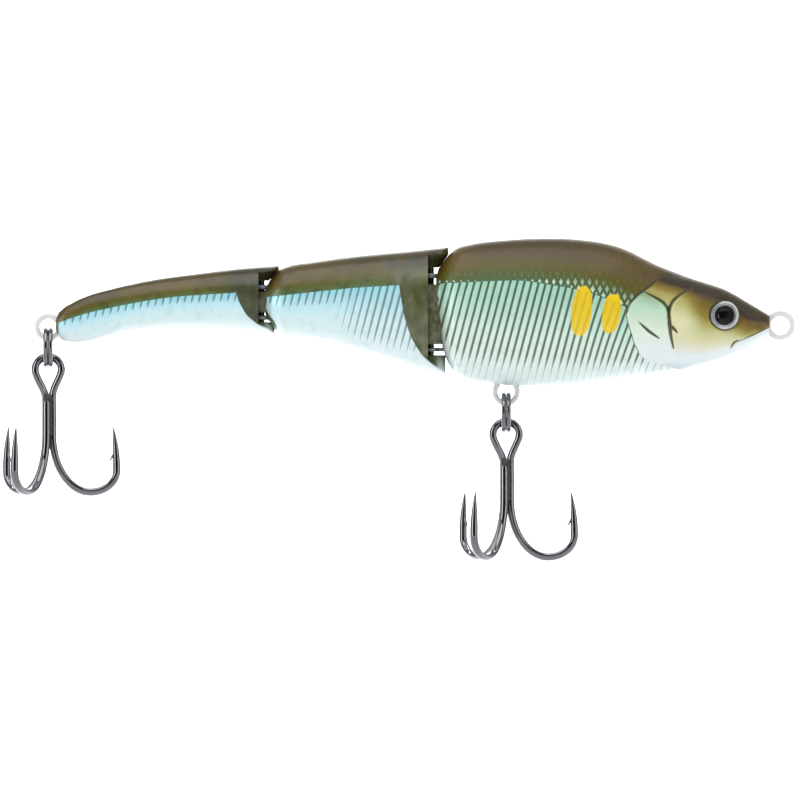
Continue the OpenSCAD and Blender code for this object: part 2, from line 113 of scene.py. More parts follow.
FOIL_OUT, FOIL_IN = 0.22, 0.03  # the foil's outer and inner face, from the moulded wall
RIB_DEPTH = 0.1
FLUSH = 0.07  # the outer face where the foil runs under the next segment's lip


# ---- Curves and surfaces ----
def curve(points, s):
    """Smooth height or width through outline points, at stations s."""
    p = np.array(points, float)
    x, y = p[:, 0], p[:, 1]
    w = np.diff(x)
    m = np.diff(y) / w
    slope = np.concatenate([[m[0]], (w[1:] * m[:-1] + w[:-1] * m[1:]) / (w[1:] + w[:-1]), [m[-1]]])
    s = np.asarray(s, float)
    i = np.clip(np.searchsorted(x, s, side="left") - 1, 0, len(x) - 2)
    t = (s - x[i]) / w[i]
    t2, t3 = t * t, t * t * t
    return ((2 * t3 - 3 * t2 + 1) * y[i] + (t3 - 2 * t2 + t) * w[i] * slope[i]
            + (3 * t2 - 2 * t3) * y[i + 1] + (t3 - t2) * w[i] * slope[i + 1])


def powered(v):
    return np.sign(v) * np.abs(v) ** (2 / SQUARENESS)


def skin(shape, s, a, d=0.0):
    """Points of the surface at stations s, angles a (degrees, 0 back to 180 belly), d outwards."""
    top, bottom, half = (curve(line, s) for line in shape)
    mid = bottom + WAIST * (top - bottom)
    rad = np.radians(a)
    h = np.where(a < 90, top - mid, mid - bottom)
    n = np.stack([np.sin(rad) / half, np.cos(rad) / h])
    n /= np.linalg.norm(n, axis=0)
    y = half * powered(np.sin(rad)) + d * n[0]
    z = mid + h * powered(np.cos(rad)) + d * n[1]
    return np.stack([-s + 0 * y, y, z], axis=-1)


def angle_at(shape, s, z):
    top, bottom = curve(shape[0], s), curve(shape[1], s)
    mid = bottom + WAIST * (top - bottom)
    v = np.clip(np.where(z > mid, (z - mid) / (top - mid), (z - mid) / (mid - bottom)), -1, 1)
    return np.degrees(np.arccos(np.sign(v) * np.abs(v) ** (SQUARENESS / 2)))


def along(points, v):
    """A curve that stays level past its two ends."""
    return curve(points, np.clip(v, points[0][0], points[-1][0]))


def smooth(v, low, high):
    t = np.clip((v - low) / (high - low), 0, 1)
    return t * t * (3 - 2 * t)


def distance_to(path, x, z, width=0.0, steps=10):
    """Side-view distance from points to a smooth line, less its tapered stroke's half width."""
    p = np.array(path, float)
    k = np.arange(len(p))
    t = np.linspace(0, len(p) - 1, steps * (len(p) - 1) + 1)
    q = np.stack([curve(np.stack([k, p[:, 0]], 1), t), curve(np.stack([k, p[:, 1]], 1), t)], 1)
    stroke = width * np.sin(np.pi * (0.12 + 0.76 * t / t[-1]))
    best = np.full(np.shape(x), 1e9)
    for a, b, w in zip(q[:-1], q[1:], stroke):
        ab = b - a
        u = np.clip(((x - a[0]) * ab[0] + (z - a[1]) * ab[1]) / (ab @ ab), 0, 1)
        best = np.minimum(best, np.hypot(x - a[0] - u * ab[0], z - a[1] - u * ab[1]) - w)
    return best


# ---- Meshes ----
def new_object(name, verts, faces):
    mesh = bpy.data.meshes.new(name)
    mesh.from_pydata((np.asarray(verts) * MM).tolist(), [], faces)
    mesh.validate()
    obj = bpy.data.objects.new(name, mesh)
    bpy.context.collection.objects.link(obj)
    return obj


def grid_faces(rows, cols, wrap=False):
    """Quads of a grid of rows x cols points; wrap closes each row."""
    last = cols if wrap else cols - 1
    i, j = np.meshgrid(np.arange(rows - 1), np.arange(last), indexing="ij")
    k = (j + 1) % cols
    quads = np.stack([i * cols + j, i * cols + k, (i + 1) * cols + k, (i + 1) * cols + j], -1)
    return quads.reshape(-1, 4).tolist()


def tube(name, rings, closed=False):
    """A solid through rings of points; the ends are capped unless the tube is closed."""
    rings = np.asarray(rings)
    n, k = rings.shape[:2]
    if closed:
        rings = np.concatenate([rings, rings[:1]])
        faces = [[v % (n * k) for v in f] for f in grid_faces(n + 1, k, wrap=True)]
        return new_object(name, rings[:-1].reshape(-1, 3), faces)
    faces = grid_faces(n, k, wrap=True)
    faces += [list(range(k - 1, -1, -1)), [(n - 1) * k + j for j in range(k)]]
    return new_object(name, rings.reshape(-1, 3), faces)


def outward(obj):
    bm = bmesh.new()
    bm.from_mesh(obj.data)
    bmesh.ops.recalc_face_normals(bm, faces=bm.faces)
    bm.to_mesh(obj.data)
    bm.free()
    return obj


def apply_modifiers(obj):
    graph = bpy.context.evaluated_depsgraph_get()
    mesh = bpy.data.meshes.new_from_object(obj.evaluated_get(graph))
    obj.modifiers.clear()
    obj.data = mesh
    return obj


def boolean(obj, tool, operation="DIFFERENCE"):
    """Cuts or joins one closed solid with another, and drops the tool."""
    mod = obj.modifiers.new("cut", "BOOLEAN")
    mod.object, mod.operation, mod.solver = tool, operation, "MANIFOLD"
    apply_modifiers(obj)
    bpy.data.objects.remove(tool)
    return obj


def lathe(name, profile, segments=96):
    """Turns a profile of (radius, height) about Z; one that starts on the axis also ends on it."""
    turn = np.arange(segments) * 2 * math.pi / segments
    verts, rows = [], []
    for r, z in profile:
        count = segments if r > 0 else 1
        rows.append([len(verts) + k % count for k in range(segments)])
        verts += [(r * math.cos(a), r * math.sin(a), z) for a in turn[:count]]
    if profile[0][0] > 0:
        rows.append(rows[0])
    faces = []
    for low, high in zip(rows, rows[1:]):
        for k in range(segments):
            n = (k + 1) % segments
            face = list(dict.fromkeys([low[k], low[n], high[n], high[k]]))
            if len(face) > 2:
                faces.append(face)
    return outward(new_object(name, verts, faces))


def shift(obj, x=0, y=0, z=0, turn=None):
    """Moves a piece's mesh, after an optional turn (a Matrix)."""
    m = Matrix.Translation(Vector((x, y, z)) * MM)
    obj.data.transform(m @ turn if turn else m)
    return obj


def block(low, high):
    verts = [(x, y, z) for x in (low[0], high[0]) for y in (low[1], high[1])
             for z in (low[2], high[2])]
    faces = [(0, 1, 3, 2), (4, 6, 7, 5), (0, 4, 5, 1), (2, 3, 7, 6), (0, 2, 6, 4), (1, 5, 7, 3)]
    return outward(new_object("block", verts, faces))


def shade(obj, angle=35):
    obj.data.polygons.foreach_set("use_smooth", [True] * len(obj.data.polygons))
    obj.data.set_sharp_from_angle(angle=math.radians(angle))
    return obj


def mirrored(obj, name):
    twin = bpy.data.objects.new(name, obj.data.copy())
    bpy.context.collection.objects.link(twin)
    twin.data.transform(Matrix.Scale(-1, 4, (0, 1, 0)))
    twin.data.flip_normals()
    return twin


def coords(obj):
    co = np.empty(len(obj.data.vertices) * 3)
    obj.data.vertices.foreach_get("co", co)
    return co.reshape(-1, 3) / MM


def field(obj, name, values):
    """Stores one number per vertex for the materials to read."""
    layer = obj.data.attributes.new(name, "FLOAT", "POINT").data
    layer.foreach_set("value", np.asarray(values, float))


# ---- Lines drawn in the body ----
GILL_EDGE = [(-8.2, 15.5), (-7.1, 19.5), (-6.6, 22.2), (-5.8, 23.9), (-4.3, 25.1), (-1.1, 26.3),
             (1.6, 27.05), (2.3, 27.1), (3.1, 26.9), (5.4, 24.9), (6.7, 23.1), (8.1, 21.8),
             (9.4, 20.9)]
LATERAL = [(26.4, 2.9), (27.2, 3.2), (29.5, 4.2), (31.5, 5), (34, 5.8), (36.6, 6.44), (40, 7),
           (45.6, 7.8), (50, 7.75), (55.5, 7.5), (60.4, 7.3)]
STEM = [(-9, 16.5), (-3.9, 18.85), (-1.8, 19.2), (-0.2, 19.4), (1.7, 19.55), (3.6, 19.7),
        (4.75, 21.8), (5.9, 23.9), (9, 30)]
MOUTH_LINE = [(2.1, -0.4), (4.6, -1.6), (7.6, -2.9), (8.7, -4.2), (9.5, -6)]
STROKES = [  # (half width, points) of the lines moulded in the gill cover
    (0.27, [(-23.9, 5.9), (-22, 4.9), (-20.6, 4.0), (-19.9, 3.0), (-19.6, 1.6)]),
    (0.27, [(-15.9, 6.4), (-17.7, 5.3), (-18.9, 4.2), (-19.4, 3.0), (-19.55, 1.6)]),
    (0.34, [(-19.65, 3.4), (-19.6, 2.0), (-19.5, 0.8), (-19.4, -0.4), (-19.25, -1.8),
            (-18.8, -4.0)]),
    (0.26, [(-19.7, 0.2), (-18.9, -0.4), (-18.1, -1.3)]),
    (0.25, [(-24.9, 0.6), (-23.2, -0.95), (-21.3, -2.3)]),
]
MOUTH = [
    (0.1, [(-2.1, -0.4), (-4.6, -1.6), (-7.6, -2.9)]),
    (0.16, [(-7.5, -2.6), (-8.2, -3.1), (-8.7, -3.9)]),
]
STROKE_DEPTH, MOUTH_DEPTH, LINE_BLUR = 0.26, 0.2, 0.2
GILL_STEP, GILL_SPREAD = 0.42, 4.5
EYE_MOAT = (2.75, 0.3, 0.12)  # radius, width and depth of the ring sunk round the eye
EYE = (-9.85, 1.8)
EYE_R = 2.5
EYE_SUNK = 0.85
RIB_PITCH = 1.25
SPOTS = [  # x, z, half width, half height, lean
    (-34.9, 2.5, 1.8, 4.4, 0.09),
    (-29.7, 2.05, 1.65, 3.45, 0.12),
]


def gill_station(z):
    return along(GILL_EDGE, z)


def rib_phase(x, z):
    lean = 0.265 + 0.11 * smooth(x, -38, -26)
    return (x - lean * z) / RIB_PITCH


def spot_value(x, z):
    """1 on the rim of the nearest yellow spot, less inside it."""
    near = np.full(np.shape(x), 3.0)
    for cx, cz, half_w, half_h, lean in SPOTS:
        across = np.abs((x - cx - lean * (z - cz)) / half_w)
        near = np.minimum(near, (across ** 2.5 + np.abs((z - cz) / half_h) ** 2.5) ** 0.4)
    return near


def head_relief(s, a):
    """How far the head's moulded skin stands out of or sinks below its plain loft."""
    p = skin(HEAD, s, a)
    x, z = p[..., 0], p[..., 2]
    inside = gill_station(z) - s
    out = GILL_STEP * smooth(inside, -0.1, 0.3) * np.exp(-np.clip(inside, 0, 99) / GILL_SPREAD)
    out *= smooth(z, 8.8, 7.4)
    for lines, depth in ((STROKES, STROKE_DEPTH), (MOUTH, MOUTH_DEPTH)):
        for width, line in lines:
            off = np.maximum(distance_to(line, x, z, width), 0)
            out = out - depth * np.exp(-(off / LINE_BLUR) ** 2)
    r = np.hypot(x - EYE[0], z - EYE[1])
    out = out - EYE_MOAT[2] * np.exp(-((r - EYE_MOAT[0]) / EYE_MOAT[1]) ** 2)
    return out * smooth(np.sin(np.radians(a)), 0.0, 0.08)


def half_solid(name, shape, stations, angles, inset=0.0, past=0.0, relief=None):
    """One half of a body segment as a closed solid on +Y, its flat side on the seam."""
    s, a = np.meshgrid(stations, angles, indexing="ij")
    d = -inset + (relief(s, a) if relief else 0.0)
    p = skin(shape, s, a, d)
    p[:, [0, -1], 1] = -past
    return outward(tube(name, p))


def spaced(a, b, n):
    """n + 1 stations from a to b, closer at both ends."""
    k = np.arange(n + 1)
    return a + (b - a) * (0.5 * (1 - np.cos(np.pi * k / n)) * 0.5 + 0.5 * k / n)


def at_pin(s, obj):
    return shift(obj, x=-s)


def lip_room(s, lips, gap):
    """The two turned spaces that a segment's lips need, about a pin."""
    upper = lathe("lip", [(0, lips[0][1] - gap), (lips[0][0] + gap, lips[0][1] - gap),
                          (lips[1][0] + gap, lips[1][1] - gap), (lips[1][0] + gap, BIG), (0, BIG)])
    lower = lathe("lip", [(0, -BIG), (lips[2][0] + gap, -BIG), (lips[2][0] + gap, lips[2][1] + gap),
                          (0, lips[2][1] + gap)])
    return at_pin(s, upper), at_pin(s, lower)


def column(s, r, low, high):
    return at_pin(s, lathe("column", [(0, low), (r, low), (r, high), (0, high)], 64))


def cut_joint_front(obj, s, lips, knuckle):
    """Cuts the cup and the open space between the lips at the front of a segment."""
    ahead = block((-s - WALL_BEHIND_PIN, -BIG, -BIG - 5), (-s + BIG, BIG, BIG + 5))
    for lip in lip_room(s, lips, LIP_GROWTH):
        boolean(ahead, lip)
    boolean(obj, ahead)
    g = CUP_GAP
    low, high = knuckle[1][1], knuckle[-1][1]
    outer = [(r + g, z) for r, z in knuckle[1:-1]]
    outer[0] = (outer[0][0], low - g)
    outer[-1] = (outer[-1][0], high + g)
    boolean(obj, at_pin(s, lathe("cup", [(0, low - g)] + outer + [(0, high + g)])))
    boolean(obj, column(s, PIN_R + 0.01, *PIN_SPANS[s]))
    boolean(obj, column(s, EYELET_ROOM, lips[2][1] + 0.05, knuckle[1][1] + 0.5))
    boolean(obj, column(s, EYELET_ROOM, knuckle[-1][1] - 0.5, lips[0][1] - 0.05))


def cut_joint_rear(obj, s, lips, names):
    """Makes room in a segment's rear for the next one's lips and for its own eyelets."""
    for lip in lip_room(s, lips, LIP_CLEARANCE):
        boolean(obj, lip)
    for name in names:
        _, z, t, reach = EYELETS[name]
        boolean(obj, column(s, EYELET_R, z - t / 2, z + t / 2))
        boolean(obj, block((-s, -EYELET_R / 2, z - t / 2), (-s + reach, EYELET_R / 2, z + t / 2)))


def knuckle_solid(s, profile):
    return at_pin(s, lathe("knuckle", profile))


def keep_left(obj):
    """Leaves only what lies on +Y of the seam."""
    return boolean(obj, block((-200, -BIG, -BIG * 2), (BIG, 0, BIG * 2)))


def chamber(shape, a, b):
    return half_solid("chamber", shape, spaced(a, b, 24), np.linspace(0, 180, 40), WALL, 1)


def slug_room(front, length, r, z):
    rod = lathe("rod", [(0, 0), (r, 0), (r, length), (0, length)], 48)
    return shift(rod, x=-front - length, z=z, turn=Matrix.Rotation(math.pi / 2, 4, "Y"))


# ---- Materials ----
LIFT = 0.03
GAIN = 0.86


def srgb(r, g, b):
    """An sRGB colour (0 to 255) as it should look, as the linear base colour that gives it."""
    v = [c / 255 for c in (r, g, b)]
    light = [c / 12.92 if c <= 0.04045 else ((c + 0.055) / 1.055) ** 2.4 for c in v]
    return tuple(min(0.96, max(0.004, (c - LIFT) / GAIN)) for c in light) + (1.0,)


class Graph:
    """A small helper that adds shader nodes and links them."""

    def __init__(self, name):
        self.mat = bpy.data.materials.new(name)
        self.mat.use_nodes = True
        self.tree = self.mat.node_tree
        self.shader = self.tree.nodes["Principled BSDF"]

    def put(self, socket, value):
        if isinstance(value, bpy.types.NodeSocket):
            self.tree.links.new(value, socket)
        elif value is not None:
            socket.default_value = value

    def node(self, kind, *inputs, out=0, **settings):
        n = self.tree.nodes.new("ShaderNode" + kind)
        for key, value in settings.items():
            setattr(n, key, value)
        for socket, value in zip(n.inputs, inputs):
            self.put(socket, value)
        return n.outputs[out]

    def attr(self, name):
        return self.node("Attribute", attribute_name=name, out=2)

    def math(self, op, a, b=None, c=None):
        return self.node("Math", a, b, c, operation=op)

    def times(self, a, b):
        return self.math("MULTIPLY", a, b)

    def scaled(self, v, factor, plus):
        return self.math("MULTIPLY_ADD", v, factor, plus)

    def band(self, v, low, high):
        """0 below low, 1 above high, smooth between; low may be above high."""
        flip = low > high
        return self.node("MapRange", v, min(low, high), max(low, high), float(flip),
                         float(not flip), interpolation_type="SMOOTHSTEP")

    def ramp(self, v, stops):
        n = self.tree.nodes.new("ShaderNodeValToRGB")
        ramp = n.color_ramp
        while len(ramp.elements) < len(stops):
            ramp.elements.new(0.5)
        for e, (pos, colour) in zip(ramp.elements, stops):
            e.position, e.color = pos, srgb(*colour)
        self.put(n.inputs[0], v)
        return n.outputs[0]

    def mix(self, fac, a, b, blend="MIX"):
        n = self.tree.nodes.new("ShaderNodeMix")
        n.data_type, n.blend_type = "RGBA", blend
        self.put(n.inputs[0], fac)
        self.put(n.inputs[6], a)
        self.put(n.inputs[7], b)
        return n.outputs[2]

    def place(self):
        """The surface point in millimetres, in the object's own frame."""
        own = self.node("TexCoord", out=3)
        return self.node("VectorMath", own, None, None, 1 / MM, operation="SCALE")

    def noise(self, scale, detail=2.0, stretch=None):
        v = self.place()
        if stretch:
            v = self.node("VectorMath", v, stretch, operation="MULTIPLY")
        return self.node("TexNoise", v, None, scale, detail)

    def bump(self, height, distance, strength=1.0):
        n = self.tree.nodes.new("ShaderNodeBump")
        n.inputs["Strength"].default_value = strength
        n.inputs["Distance"].default_value = distance * MM
        self.put(n.inputs["Height"], height)
        self.put(self.shader.inputs["Normal"], n.outputs[0])

    def set(self, **values):
        for key, value in values.items():
            self.put(self.shader.inputs[key.replace("_", " ")], value)
        return self.mat


def stripes(g, phase, width):
    """1 on thin lines, one to each whole step of phase, 0 between."""
    off = g.math("ABSOLUTE", g.math("SUBTRACT", g.math("FRACT", phase), 0.5))
    return g.band(g.math("SUBTRACT", off, width), 0.05, -0.05)


BACK_STOPS = [(0.0, (104, 136, 106)), (0.14, (103, 117, 80)), (0.36, (101, 95, 50)),
              (0.66, (88, 74, 28)), (0.9, (80, 70, 36)), (1.0, (88, 80, 58))]


def lattice(g, width):
    """The net of scales: 1 along its lines."""
    x, _, z = [g.node("SeparateXYZ", g.place(), out=i) for i in range(3)]
    one = g.math("DIVIDE", g.scaled(z, -0.52, x), RIB_PITCH)
    two = g.math("DIVIDE", g.scaled(z, 0.46, x), RIB_PITCH)
    return g.math("MAXIMUM", stripes(g, one, width), stripes(g, two, width))


def back_colour(g, up):
    base = g.ramp(up, BACK_STOPS)
    patch = g.band(g.noise(0.09, 3.0), 0.42, 0.62)
    return g.mix(g.times(patch, 0.3), base, srgb(118, 100, 54))


def yellow(g, colour):
    """Lays the airbrushed yellow spots over a colour."""
    ragged = g.scaled(g.math("SUBTRACT", g.noise(1.3, 3.0), 0.5), 0.16, g.attr("spot"))
    paint = g.mix(g.noise(0.5), srgb(255, 202, 12), srgb(240, 206, 30))
    return g.mix(g.times(g.band(ragged, 1.04, 0.93), 0.96), colour, paint)


def head_material():
    g = Graph("head_paint")
    up, over, drop, under = [g.attr(name) for name in ("up", "over", "drop", "under")]
    face = g.band(g.attr("gill"), -0.1, 0.2)
    cover = g.band(g.attr("plate"), -0.1, 0.2)
    smoke = g.band(g.attr("smoke"), 0.4, 0.6)
    back = back_colour(g, up)
    net = lattice(g, g.attr("mesh"))
    fade = g.band(up, 0.95, 0.0)
    back = g.mix(g.times(g.times(net, fade), 0.42), back, srgb(62, 76, 48))
    cells = g.times(g.band(net, 0.35, 0.1), g.band(over, 0.05, 0.25))
    cells = g.times(cells, g.band(g.math("DIVIDE", over, g.attr("rows")), 1.0, 0.45))
    pearl = g.mix(g.band(over, 0.5, 1.4), srgb(214, 232, 212), srgb(158, 192, 168))
    back = g.mix(g.times(cells, 0.8), back, pearl)
    back = g.mix(g.band(g.math("ABSOLUTE", over), 0.16, 0.04), back, srgb(74, 98, 76))
    # Cheek paint runs from a dark top through golden to white; its last stop, darker at the very
    # bottom, is painted shade on the underside.
    cheek = g.ramp(g.attr("cheek"), [
        (0.05, (72, 66, 55)), (0.15, (66, 56, 40)), (0.25, (111, 93, 43)), (0.35, (127, 110, 56)),
        (0.45, (145, 130, 70)), (0.55, (177, 171, 109)), (0.65, (200, 202, 152)),
        (0.75, (219, 217, 178)), (0.85, (228, 229, 216)), (0.91, (226, 234, 236)),
        (1.0, (180, 196, 202))])
    blotch = g.times(g.attr("snout"), g.band(g.noise(0.75, 3.0), 0.44, 0.56))
    cheek = g.mix(g.times(blotch, 0.7), cheek, srgb(92, 70, 42))
    colour = g.mix(face, back, cheek)
    # The plate's last stop, darker at the very bottom, is painted shade on the underside.
    plate = g.ramp(drop, [
        (0.28, (120, 135, 92)), (0.34, (166, 196, 164)), (0.42, (190, 222, 200)),
        (0.52, (208, 228, 206)), (0.62, (222, 235, 220)), (0.78, (229, 242, 240)),
        (0.91, (226, 236, 237)), (1.0, (180, 196, 202))])
    colour = g.mix(cover, colour, plate)
    # The jaw's last stop, darker at the very bottom, is painted shade on the underside.
    jaw = g.ramp(drop, [(0.6, (230, 239, 240)), (0.91, (226, 235, 237)), (1.0, (180, 196, 202))])
    colour = g.mix(g.band(g.attr("jaw"), -0.1, 0.25), colour, jaw)
    fine_ribs = g.times(stripes(g, g.attr("phase"), 0.06), g.band(under, 0.0, 0.2))
    belly = g.times(g.band(drop, 0.7, 0.8), g.band(under, -0.1, 0.1))
    # The white belly fades out at the very bottom, where the ramps' painted shade shows through.
    colour = g.mix(g.times(belly, g.band(drop, 1.04, 0.9)), colour, srgb(218, 232, 233))
    colour = g.mix(g.times(fine_ribs, belly), colour, srgb(150, 168, 166))
    colour = yellow(g, colour)
    # A dark rim: round the eye it is painted shade in the gap between eye and socket; along the gill
    # edge it is a dark line, wider in its upper part.
    rim = g.times(g.band(g.attr("rim"), 0.07, -0.07), 0.85)
    colour = g.mix(rim, colour, srgb(58, 62, 42))
    ink = g.times(g.band(g.attr("lines"), 0.1, -0.08), 0.95)
    colour = g.mix(ink, colour, srgb(76, 76, 54))
    haze = g.mix(g.band(g.noise(0.8, 3.0), 0.35, 0.65), srgb(92, 94, 72), srgb(124, 126, 102))
    colour = g.mix(smoke, colour, haze)
    grain = g.noise(2.2, 4.0)
    speckle = g.mix(grain, srgb(60, 55, 40), srgb(235, 235, 220))
    colour = g.mix(0.12, colour, speckle, "SOFT_LIGHT")
    g.set(Base_Color=colour, Metallic=g.times(cover, 0.12),
          Roughness=g.scaled(grain, 0.14, 0.36), Transmission_Weight=g.times(smoke, 0.15),
          Coat_Weight=0.2, Coat_Roughness=0.25, IOR=1.45)
    g.bump(g.scaled(net, -0.6, g.times(grain, 0.3)), 0.06, 0.6)
    return g.mat


def segment_material(name, dim):
    g = Graph(name)
    up, smoke = g.attr("up"), g.attr("smoke")
    back = back_colour(g, up)
    swirl = g.noise(0.5, 3.0, (1.0, 1.0, 0.5))
    fleck = g.band(g.noise(0.35, 4.0), 0.5, 0.62)
    back = g.mix(g.scaled(fleck, 0.3, 0.2), back, srgb(68, 70, 42))
    haze = g.ramp(swirl, [(0.3, (82, 86, 60)), (0.5, (102, 106, 80)), (0.72, (128, 132, 106))])
    haze = g.mix(dim, haze, srgb(44, 50, 42))
    dusk = g.band(g.math("ADD", up, g.times(swirl, 0.3)), 0.5, 0.85)
    haze = g.mix(g.times(dusk, 0.8), haze, srgb(66, 62, 46))
    amber = g.times(g.band(up, 0.2, 0.5), g.band(swirl, 0.52, 0.62))
    haze = g.mix(g.times(amber, 0.6), haze, srgb(98, 80, 24))
    colour = g.mix(smoke, back, haze)
    # Painted shade on the lower lip ahead of the crescent, where the cup curves to face down.
    colour = g.mix(g.times(g.attr("lip"), 0.8), colour, srgb(40, 42, 36))
    colour = g.mix(g.attr("pale"), colour, srgb(222, 234, 232))
    grain = g.noise(2.2, 4.0)
    g.set(Base_Color=colour, Roughness=g.scaled(grain, 0.12, 0.28),
          Transmission_Weight=g.times(smoke, 0.15), Coat_Weight=0.25,
          Coat_Roughness=0.15, IOR=1.47)
    g.bump(g.math("ADD", swirl, g.times(grain, 0.05)), 0.12, 0.4)
    return g.mat


def foil_material(name, stops, line_stops, reach, spots=False):
    """Reflective foil: a pale fade down the flank, darker at the belly as painted shade, with thin
    dark rib lines in its grooves.
    """
    g = Graph(name)
    v = g.attr("down")
    # The stops end darker at the belly: painted shade on the underside.
    base = g.ramp(v, stops)
    grain = g.noise(1.6, 5.0, (1.0, 1.0, 0.35))
    base = g.mix(g.times(g.band(grain, 0.4, 0.75), 0.18), base, srgb(240, 248, 248))
    cloud = g.times(g.band(g.noise(0.7, 4.0), 0.5, 0.7), 0.12)
    base = g.mix(cloud, base, srgb(120, 150, 140))
    off = g.math("ABSOLUTE", g.math("SUBTRACT", g.math("FRACT", g.attr("phase")), 0.5))
    width = g.scaled(g.attr("ribs"), 0.145, 0.03)
    rib = g.band(g.math("SUBTRACT", off, width), 0.05, -0.05)
    inked = g.times(g.times(rib, g.band(g.attr("ribs"), 0.0, 0.35)), reach)
    colour = g.mix(inked, base, g.ramp(v, line_stops))
    if spots:
        colour = yellow(g, colour)
        colour = g.mix(g.times(rib, 0.16), colour, srgb(120, 100, 30))
    g.set(Base_Color=colour, Metallic=0.12, Roughness=g.scaled(grain, 0.2, 0.24),
          Coat_Weight=0.6, Coat_Roughness=0.05, IOR=1.47)
    g.bump(grain, 0.05, 0.35)
    return g.mat


def metal_material(name, colour, dark, rough, metallic=1.0, braze=False):
    g = Graph(name)
    fine = g.noise(2.5, 5.0)
    wear = g.noise(0.6, 4.0)
    base = g.mix(wear, srgb(*dark), srgb(*colour))
    roughness = g.scaled(fine, 0.07, rough)
    grit = 0.005
    if braze:
        base = g.mix(g.attr("braze"), base, srgb(84, 84, 84))
        roughness = g.scaled(g.attr("braze"), 0.35, roughness)
        grit = g.scaled(g.attr("braze"), 0.2, 0.008)
    g.set(Base_Color=base, Metallic=metallic, Roughness=roughness)
    g.bump(g.times(fine, grit), 1.0, 0.3)
    return g.mat


def iris_material():
    g = Graph("eye_disc")
    r = g.attr("radius")
    rings = g.ramp(g.math("DIVIDE", r, EYE_R), [
        (0.0, (24, 30, 40)), (0.65, (18, 22, 28)), (0.68, (110, 118, 126)), (0.7, (186, 194, 200)),
        (0.77, (206, 212, 216)), (0.79, (112, 122, 132)), (0.81, (120, 130, 138)),
        (0.835, (244, 246, 246)), (0.96, (246, 246, 242)), (1.0, (150, 146, 136))])
    silver = g.band(r, 0.66 * EYE_R, 0.7 * EYE_R)
    g.set(Base_Color=rings, Metallic=g.times(silver, 0.06), Specular_IOR_Level=0.1,
          Roughness=g.scaled(g.noise(1.0), 0.1, 0.2))
    return g.mat


def resin_material():
    g = Graph("eye_resin")
    fine = g.noise(0.4, 1.0)
    g.set(Base_Color=g.mix(fine, (1, 1, 1, 1), (0.97, 0.98, 1, 1)), Transmission_Weight=1.0,
          IOR=1.2, Roughness=g.times(fine, 0.01))
    return g.mat


# ---- Camera, light and stage ----
VIEW_WIDTH = 140.48
VIEW_CENTRE = (-66.73, -13.1)
LENS = 900
SENSOR = 36
LAMPS = {  # name: (place, width, height, power, what it points at), in metres and watts
    "key": ((-0.1, -0.45, 0.9), 1.0, 1.0, 6.2, (0, 0, 0)),
    "left": ((-0.85, -0.7, 0.05), 0.32, 1.0, 4.6, (0, 0, 0)),
    "right": ((0.9, -0.6, 0.1), 0.8, 0.9, 2.8, (0, 0, 0)),
    "wall": ((0.0, 0.2, 0.45), 0.7, 0.7, 15.0, (0, 1.0, 0.1)),
}
SCREEN = (0.5, 0.82, 0.52, 0.02)  # cosine to the front and brightness: outside, inside its edge
FLOOR_Z, FLOOR_FRONT, FLOOR_X = -0.085, -1.3, (-1.8, 1.7)
WALL_Y, WALL_RISE, SWEEP_R = 0.9, 0.9, 0.25


